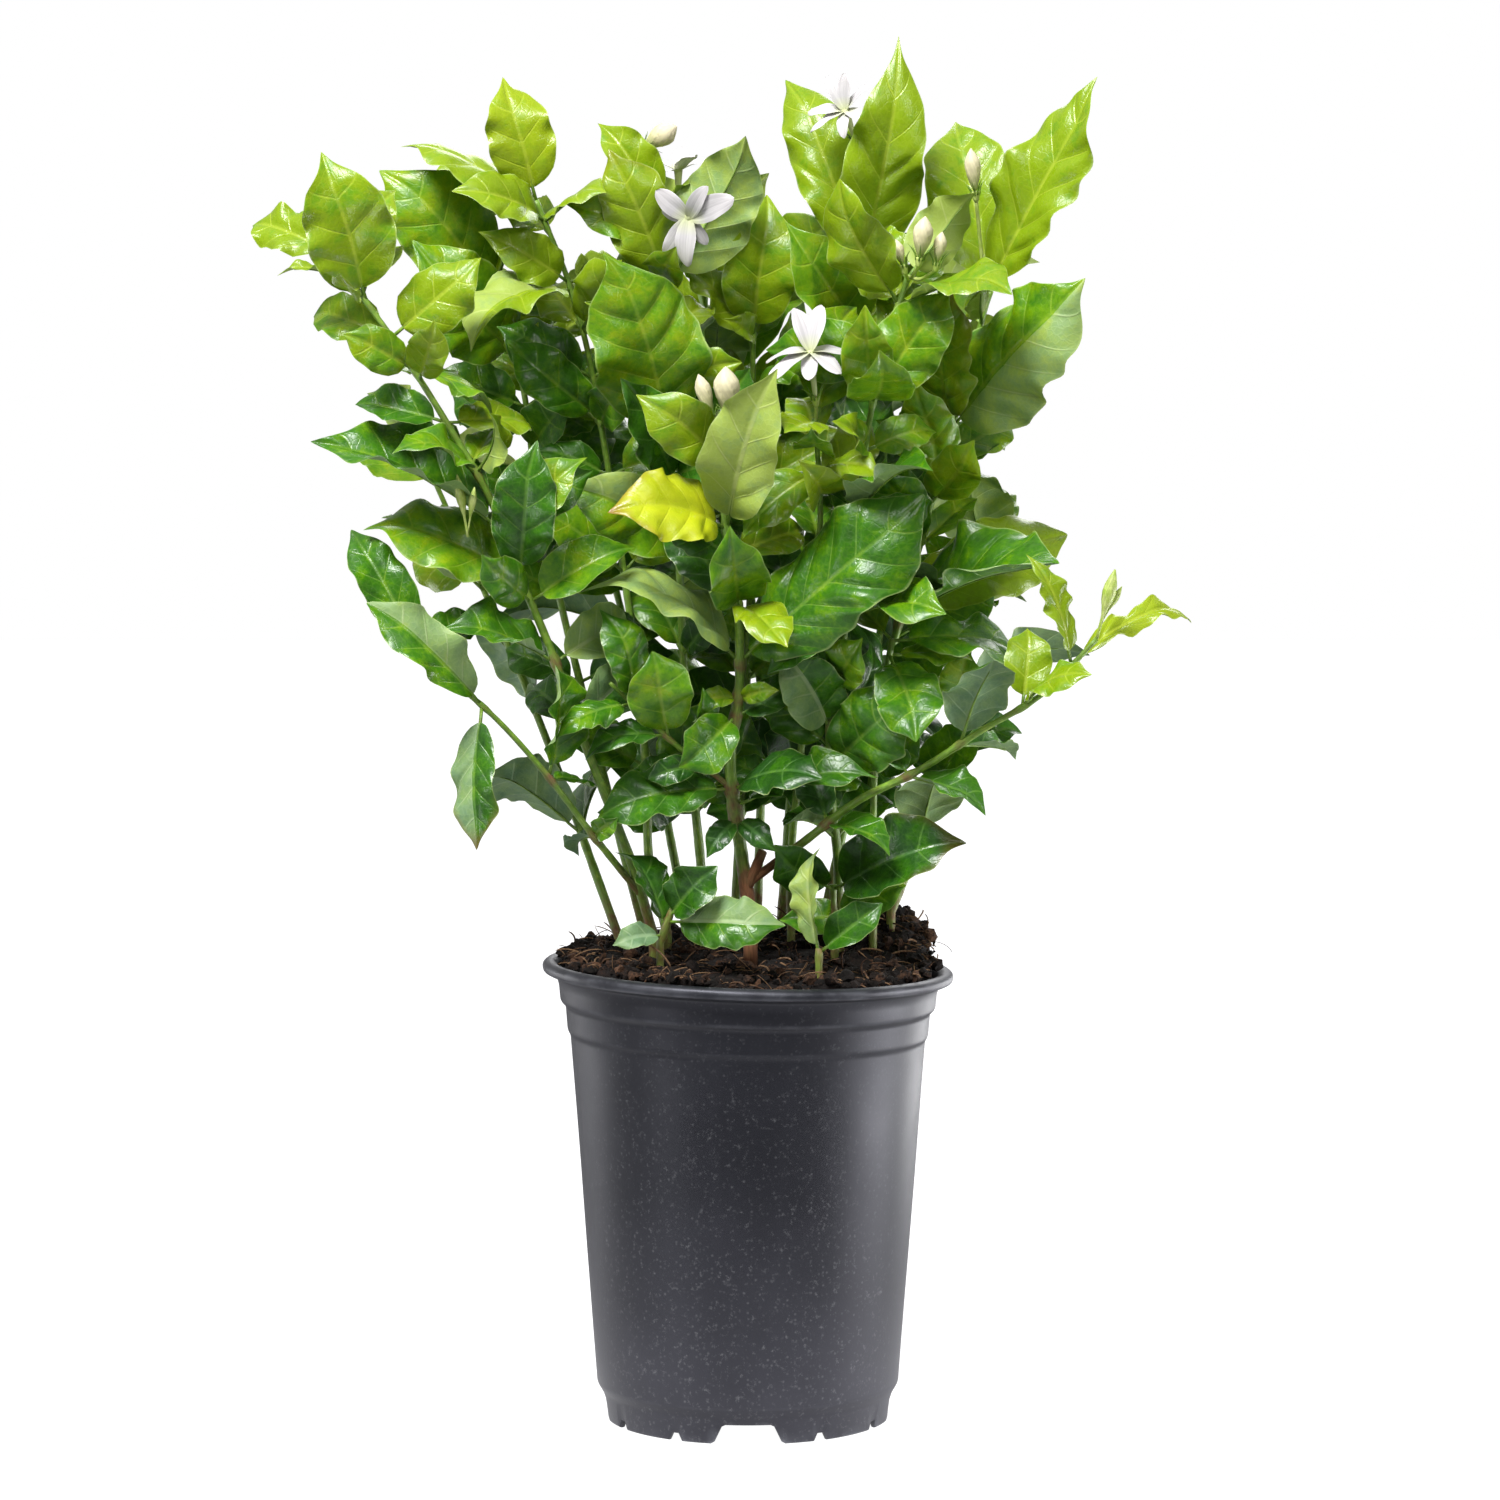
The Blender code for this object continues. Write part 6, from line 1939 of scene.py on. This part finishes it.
def add_bud(name):
    """One bud with its wound lobes."""
    _, _, base, tip, radius = BUDS[name]
    base, tip = Vector(base), Vector(tip)
    axis = (tip - base).normalized()
    right, up = (np.array(direction) for direction in flower_frame(axis))
    share = np.linspace(0, 1, BUD_RINGS)
    turn = 2 * np.pi * np.arange(BUD_COLUMNS) / BUD_COLUMNS
    share, turn = np.meshgrid(share, turn, indexing="ij")
    girth = np.interp(share, [0, 0.06, 0.2, 0.38, 0.56, 0.7, 0.84, 0.94, 1],
                      [0.18, 0.36, 0.58, 0.86, 1.0, 0.95, 0.62, 0.28, 0.02])
    seam = (turn / (2 * np.pi) * BUD_SEAMS + share * 1.4) % 1.0
    girth = girth * (1 - 0.1 * np.exp(-(np.minimum(seam, 1 - seam) / 0.09) ** 2) + 0.06 * seam)
    spokes = right * np.cos(turn)[..., None] + up * np.sin(turn)[..., None]
    centre = np.array(base) + np.array(tip - base) * share[..., None]
    strip = centre + spokes * (girth * radius)[..., None]
    work = Patchwork()
    notes = {"petal_place": np.stack([seam, share, np.full_like(share, 0.5)], axis=2)}
    work.add(strip, notes, loop=True)
    return work.build(name.replace("bud", "bud_lobes"), [BUD_SKIN])


print("seams on each bud:", BUD_SEAMS)

# %% [markdown]
# ### Leaf finish
# A leaf is a thin, wet sheet under a coat of wax. Light that goes in comes out yellower on the far
# side, so the finish mixes a translucent layer under the skin. The colour runs from the yellow-green
# of the newest leaves to the blue-green of the oldest. Veins are drawn from the notes on the mesh:
# half a millimetre wide at the sides, drawn a little wider than life so that they show, with a net
# of two-millimetre cells between them.

# %% Finish of the leaves


def leaf_finish():
    """Leaf cuticle: waxy and veined above, matt and paler below, lit through from behind."""
    material, tree = new_material("waxed_leaf_cuticle")
    place = noted(tree, "leaf_place")
    vein = noted(tree, "leaf_vein")
    habit = noted(tree, "leaf_habit")
    flat = noted(tree, "leaf_flat")
    across, along, face = split(tree, place)
    phase, spacing, middle = split(tree, vein)
    age, yellowed, browned = split(tree, habit)
    size = maths(tree, "ABSOLUTE", across)
    upper = maths(tree, "GREATER_THAN", face, 0.0)

    off = maths(tree, "PINGPONG", phase, 0.5)
    off = maths(tree, "MULTIPLY", off, spacing)
    side_vein = mapped(tree, off, 0.14, 0.6, 1.0, 0.0)
    fade = mapped(tree, size, 0.5, 0.95, 1.0, 0.3)
    side_vein = maths(tree, "MULTIPLY", side_vein, fade)
    off = maths(tree, "ABSOLUTE", middle)
    midrib = mapped(tree, off, 0.4, 1.2, 1.0, 0.0)
    narrow = mapped(tree, along, 0.5, 1.0, 1.0, 0.35)
    midrib = maths(tree, "MULTIPLY", midrib, narrow)
    ribs = maths(tree, "MAXIMUM", side_vein, midrib)
    cell = add_node(tree, "TexVoronoi", {"Vector": flat, "Scale": 0.42, "Randomness": 0.9},
                    output="Distance", feature="DISTANCE_TO_EDGE")
    net = mapped(tree, cell, 0.0, 0.14, 1.0, 0.0)
    faint_net = maths(tree, "MULTIPLY", net, 0.22)
    veins = maths(tree, "MAXIMUM", ribs, faint_net)

    mottle = clouds(tree, flat, 0.13, 4.0)
    shift = mapped(tree, mottle, 0.3, 0.7, -0.2, 0.2)
    tone = maths(tree, "ADD", age, shift)
    fleck = clouds(tree, flat, 0.5, 3.0, 0.6)
    shift = mapped(tree, fleck, 0.3, 0.75, 0.05, -0.16)
    tone = maths(tree, "ADD", tone, shift)
    blade = ramp(tree, tone,
        (0.02, "84A010"), (0.25, "64930A"), (0.5, "38700A"), (0.9, "1C460C"))
    ribs_above = ramp(tree, tone,
        (0.02, "B4C63E"), (0.28, "90B038"), (0.6, "6E983A"), (0.95, "4E7C3C"))
    below = ramp(tree, tone,
        (0.02, "A3B850"), (0.35, "86A45C"), (0.95, "5E8058"))
    ribs_below = ramp(tree, tone,
        (0.02, "C3D07C"), (0.35, "AFC286"), (0.95, "8FAA82"))
    veined = maths(tree, "MULTIPLY", veins, 0.62)
    above_colour = blend(tree, veined, blade, ribs_above)
    below_colour = blend(tree, veined, below, ribs_below)
    colour = blend(tree, upper, below_colour, above_colour)
    margin = mapped(tree, size, 0.96, 0.99, 0.0, 0.45)
    colour = blend(tree, margin, colour, "BDCF84")

    patchy = mapped(tree, mottle, 0.35, 0.65, 0.75, 1.1)
    yellow = maths(tree, "MULTIPLY", yellowed, patchy)
    colour = blend(tree, yellow, colour, "C6CC1E")
    outer = maths(tree, "MULTIPLY", size, along)
    outer = mapped(tree, outer, 0.5, 0.95, 0.0, 1.0)
    end = mapped(tree, along, 0.84, 0.97, 0.0, 1.0)
    dry = maths(tree, "MAXIMUM", outer, end)
    dry = maths(tree, "MULTIPLY", dry, browned)
    dry = maths(tree, "MULTIPLY", dry, patchy)
    colour = blend(tree, dry, colour, "8A5A2C")

    glow = blend(tree, 0.45, colour, "A8CC14")
    wax = mapped(tree, mottle, 0.3, 0.7, 0.24, 0.38)
    rough = mapped(tree, upper, 0.0, 1.0, 0.22, 0.0)
    rough = maths(tree, "ADD", wax, rough)
    shallow = maths(tree, "MULTIPLY", net, 0.3)
    groove = maths(tree, "ADD", ribs, shallow)
    sunk = maths(tree, "MULTIPLY", groove, face)
    blister = clouds(tree, flat, 0.12, 1.0)
    blister = add_node(tree, "Bump", {"Height": blister, "Strength": 0.3, "Distance": 0.002})
    relief = add_node(tree, "Bump", {"Height": sunk, "Strength": 0.6, "Distance": 0.00025, "Normal": blister},
                      invert=True)
    skin = add_node(tree, "BsdfPrincipled", {
        "Base Color": colour, "Roughness": rough, "IOR": 1.5, "Normal": relief})
    through = add_node(tree, "BsdfTranslucent", {"Color": glow})
    thin = mapped(tree, tone, 0.0, 1.0, 0.28, 0.12)
    sheet = add_node(tree, "MixShader", {0: thin, 1: skin, 2: through})
    add_node(tree, "OutputMaterial", {"Surface": sheet})
    return material


LEAF_SKIN = leaf_finish()
print("finish:", LEAF_SKIN.name)

# %% [markdown]
# ### Stem finish
# Young canes are green and faintly ribbed, and a little shiny. With age they turn to thin, brown
# bark, browner at each joint.

# %% Finish of the stems


def stem_finish():
    """Young green bark that turns to brown wood, by the notes on the mesh."""
    material, tree = new_material("green_cane_bark")
    place = noted(tree, "stem_place")
    turn, along, wood = split(tree, place)
    spot = add_node(tree, "TexCoord", output="Object")
    long_grain = add_node(tree, "CombineXYZ", {"X": turn, "Y": along})
    long_grain = add_node(tree, "Mapping", {"Vector": long_grain, "Scale": (26.0, 0.22, 1.0)})
    grain = clouds(tree, long_grain, 1.0, 3.0)
    blotch = clouds(tree, spot, 260.0, 3.0)
    vary = mapped(tree, blotch, 0.3, 0.7, -0.22, 0.22)
    brown = maths(tree, "ADD", wood, vary)
    share = mapped(tree, brown, -1.0, 1.0, 0.0, 1.0)
    colour = ramp(tree, share,
        (0.1, "BCC67A"), (0.3, "93AA42"), (0.5, "64882A"), (0.66, "6A7430"), (0.8, "6E5232"), (1.0, "7A5034"))
    streak = mapped(tree, grain, 0.35, 0.65, 0.75, 1.2)
    colour = blend(tree, 1.0, colour, streak, "MULTIPLY")
    rough = mapped(tree, brown, 0.2, 0.8, 0.42, 0.8)
    relief = add_node(tree, "Bump", {"Height": grain, "Strength": 0.6, "Distance": 0.0003})
    bark = add_node(tree, "BsdfPrincipled", {
        "Base Color": colour, "Roughness": rough, "IOR": 1.45, "Normal": relief})
    add_node(tree, "OutputMaterial", {"Surface": bark})
    return material


BARK = stem_finish()
print("finish:", BARK.name)

# %% [markdown]
# ### Petal finish
# A petal is white because air in its cells scatters the light, so it glows softly and has hardly
# any gloss. Fine folds run lengthwise, and the tube and the foot of each lobe are greener. The
# colour is darkened along the folds as painted shade.

# %% Finish of the petals


def petal_finish(name, foot, body, tip, folds):
    """White petal tissue: soft, a little translucent, finely folded lengthwise, with painted shade in the
    folds.
    """
    material, tree = new_material(name)
    place = noted(tree, "petal_place")
    stretched = add_node(tree, "Mapping", {"Vector": place, "Scale": (folds, 0.7, 3.0)})
    grain = clouds(tree, stretched, 1.0, 3.0)
    along = add_node(tree, "SeparateXYZ", {0: place}, output="Y")
    colour = ramp(tree, along, (0.0, foot), (0.4, body), (1.0, tip))
    # Painted shade: the colour is darkened along the fine lengthwise folds, for the shade that falls in them.
    shade = mapped(tree, grain, 0.3, 0.7, 0.74, 1.0)
    colour = blend(tree, 1.0, colour, shade, "MULTIPLY")
    relief = add_node(tree, "Bump", {"Height": grain, "Strength": 0.5, "Distance": 0.0004})
    skin = add_node(tree, "BsdfPrincipled", {
        "Base Color": colour, "Roughness": 0.55, "IOR": 1.4, "Normal": relief})
    through = add_node(tree, "BsdfTranslucent", {"Color": colour})
    sheet = add_node(tree, "MixShader", {0: 0.16, 1: skin, 2: through})
    add_node(tree, "OutputMaterial", {"Surface": sheet})
    return material


PETAL = petal_finish("white_petal_tissue", "CFD6A0", "D3D0D1", "D8D3D4", 5.0)
BUD_SKIN = petal_finish("cream_bud_tissue", "A9BC5E", "EBE3B4", "EFE4C6", 4.0)
print("finishes:", PETAL.name, "and", BUD_SKIN.name)

# %% [markdown]
# ## Putting the plant together
# Each shoot is one piece, as it is one body in the pot: its canes, leaf stalks, leaves, and the
# stalks of its flowers. The flowers and buds are pieces of their own, so that they can be left off.

# %% Shoots
# Green buds that have just formed at the end of a shoot: the stem, foot, tip and radius of each
GREEN_BUDS = (
    ("middle_arm", (140, -72, 331), (147, -75, 359), 2.8),
    ("middle_arm", (142, -73, 338), (150, -71, 352), 1.5),
    ("left_high", (-112, -76, 372), (-116, -80, 397), 2.2),
    ("left_high", (-112, -76, 374), (-109, -81, 392), 1.6),
)
GREEN_BUD_SHAPE = (0.25, 0.24, 0.24, 0.26, 0.5, 0.85, 1.0, 0.9, 0.55, 0.12)

flower_strips = {}
for name, stem, distance, calyx, axis in SEATS:
    flower_strips.setdefault(body_of(stem), []).extend(stalk_strips(name, stem, distance, calyx, axis))
for stem, foot, tip, radius in GREEN_BUDS:
    route = [Vector(foot).lerp(Vector(tip), share) for share in np.linspace(0, 1, len(GREEN_BUD_SHAPE))]
    bud = fine_tube(route, np.array(GREEN_BUD_SHAPE) * radius, 10, PALE_STALK)
    flower_strips.setdefault(body_of(stem), []).append(bud)

faces = 0
for shoot in sorted({body_of(name) for name in STEMS}):
    work = Patchwork()
    for name in STEMS:
        if body_of(name) == shoot:
            work.add(*cane(name), slot=1, loop=True)
    for name, leaf in LEAVES.get(shoot, []):
        upper, lower, rib = leaf_faces(name, leaf)
        work.add(*upper)
        work.add(*lower, under=True)
        work.add(*stalk_and_rib(leaf, rib), slot=1, loop=True)
    for strip, notes in flower_strips.get(shoot, []):
        work.add(strip, notes, slot=1, loop=True)
    piece = work.build("shoot_" + shoot, [LEAF_SKIN, BARK])
    place(piece, "foliage", "stem_" + shoot)
    faces += len(piece.data.polygons)
print("faces of the shoots:", faces)

# %% Flowers and buds
for name in BLOOMS:
    place(add_flower(name), "petal", name)
for name in BUDS:
    place(add_bud(name), "bud", name)
print("flowers and buds:", len(BLOOMS) + len(BUDS))
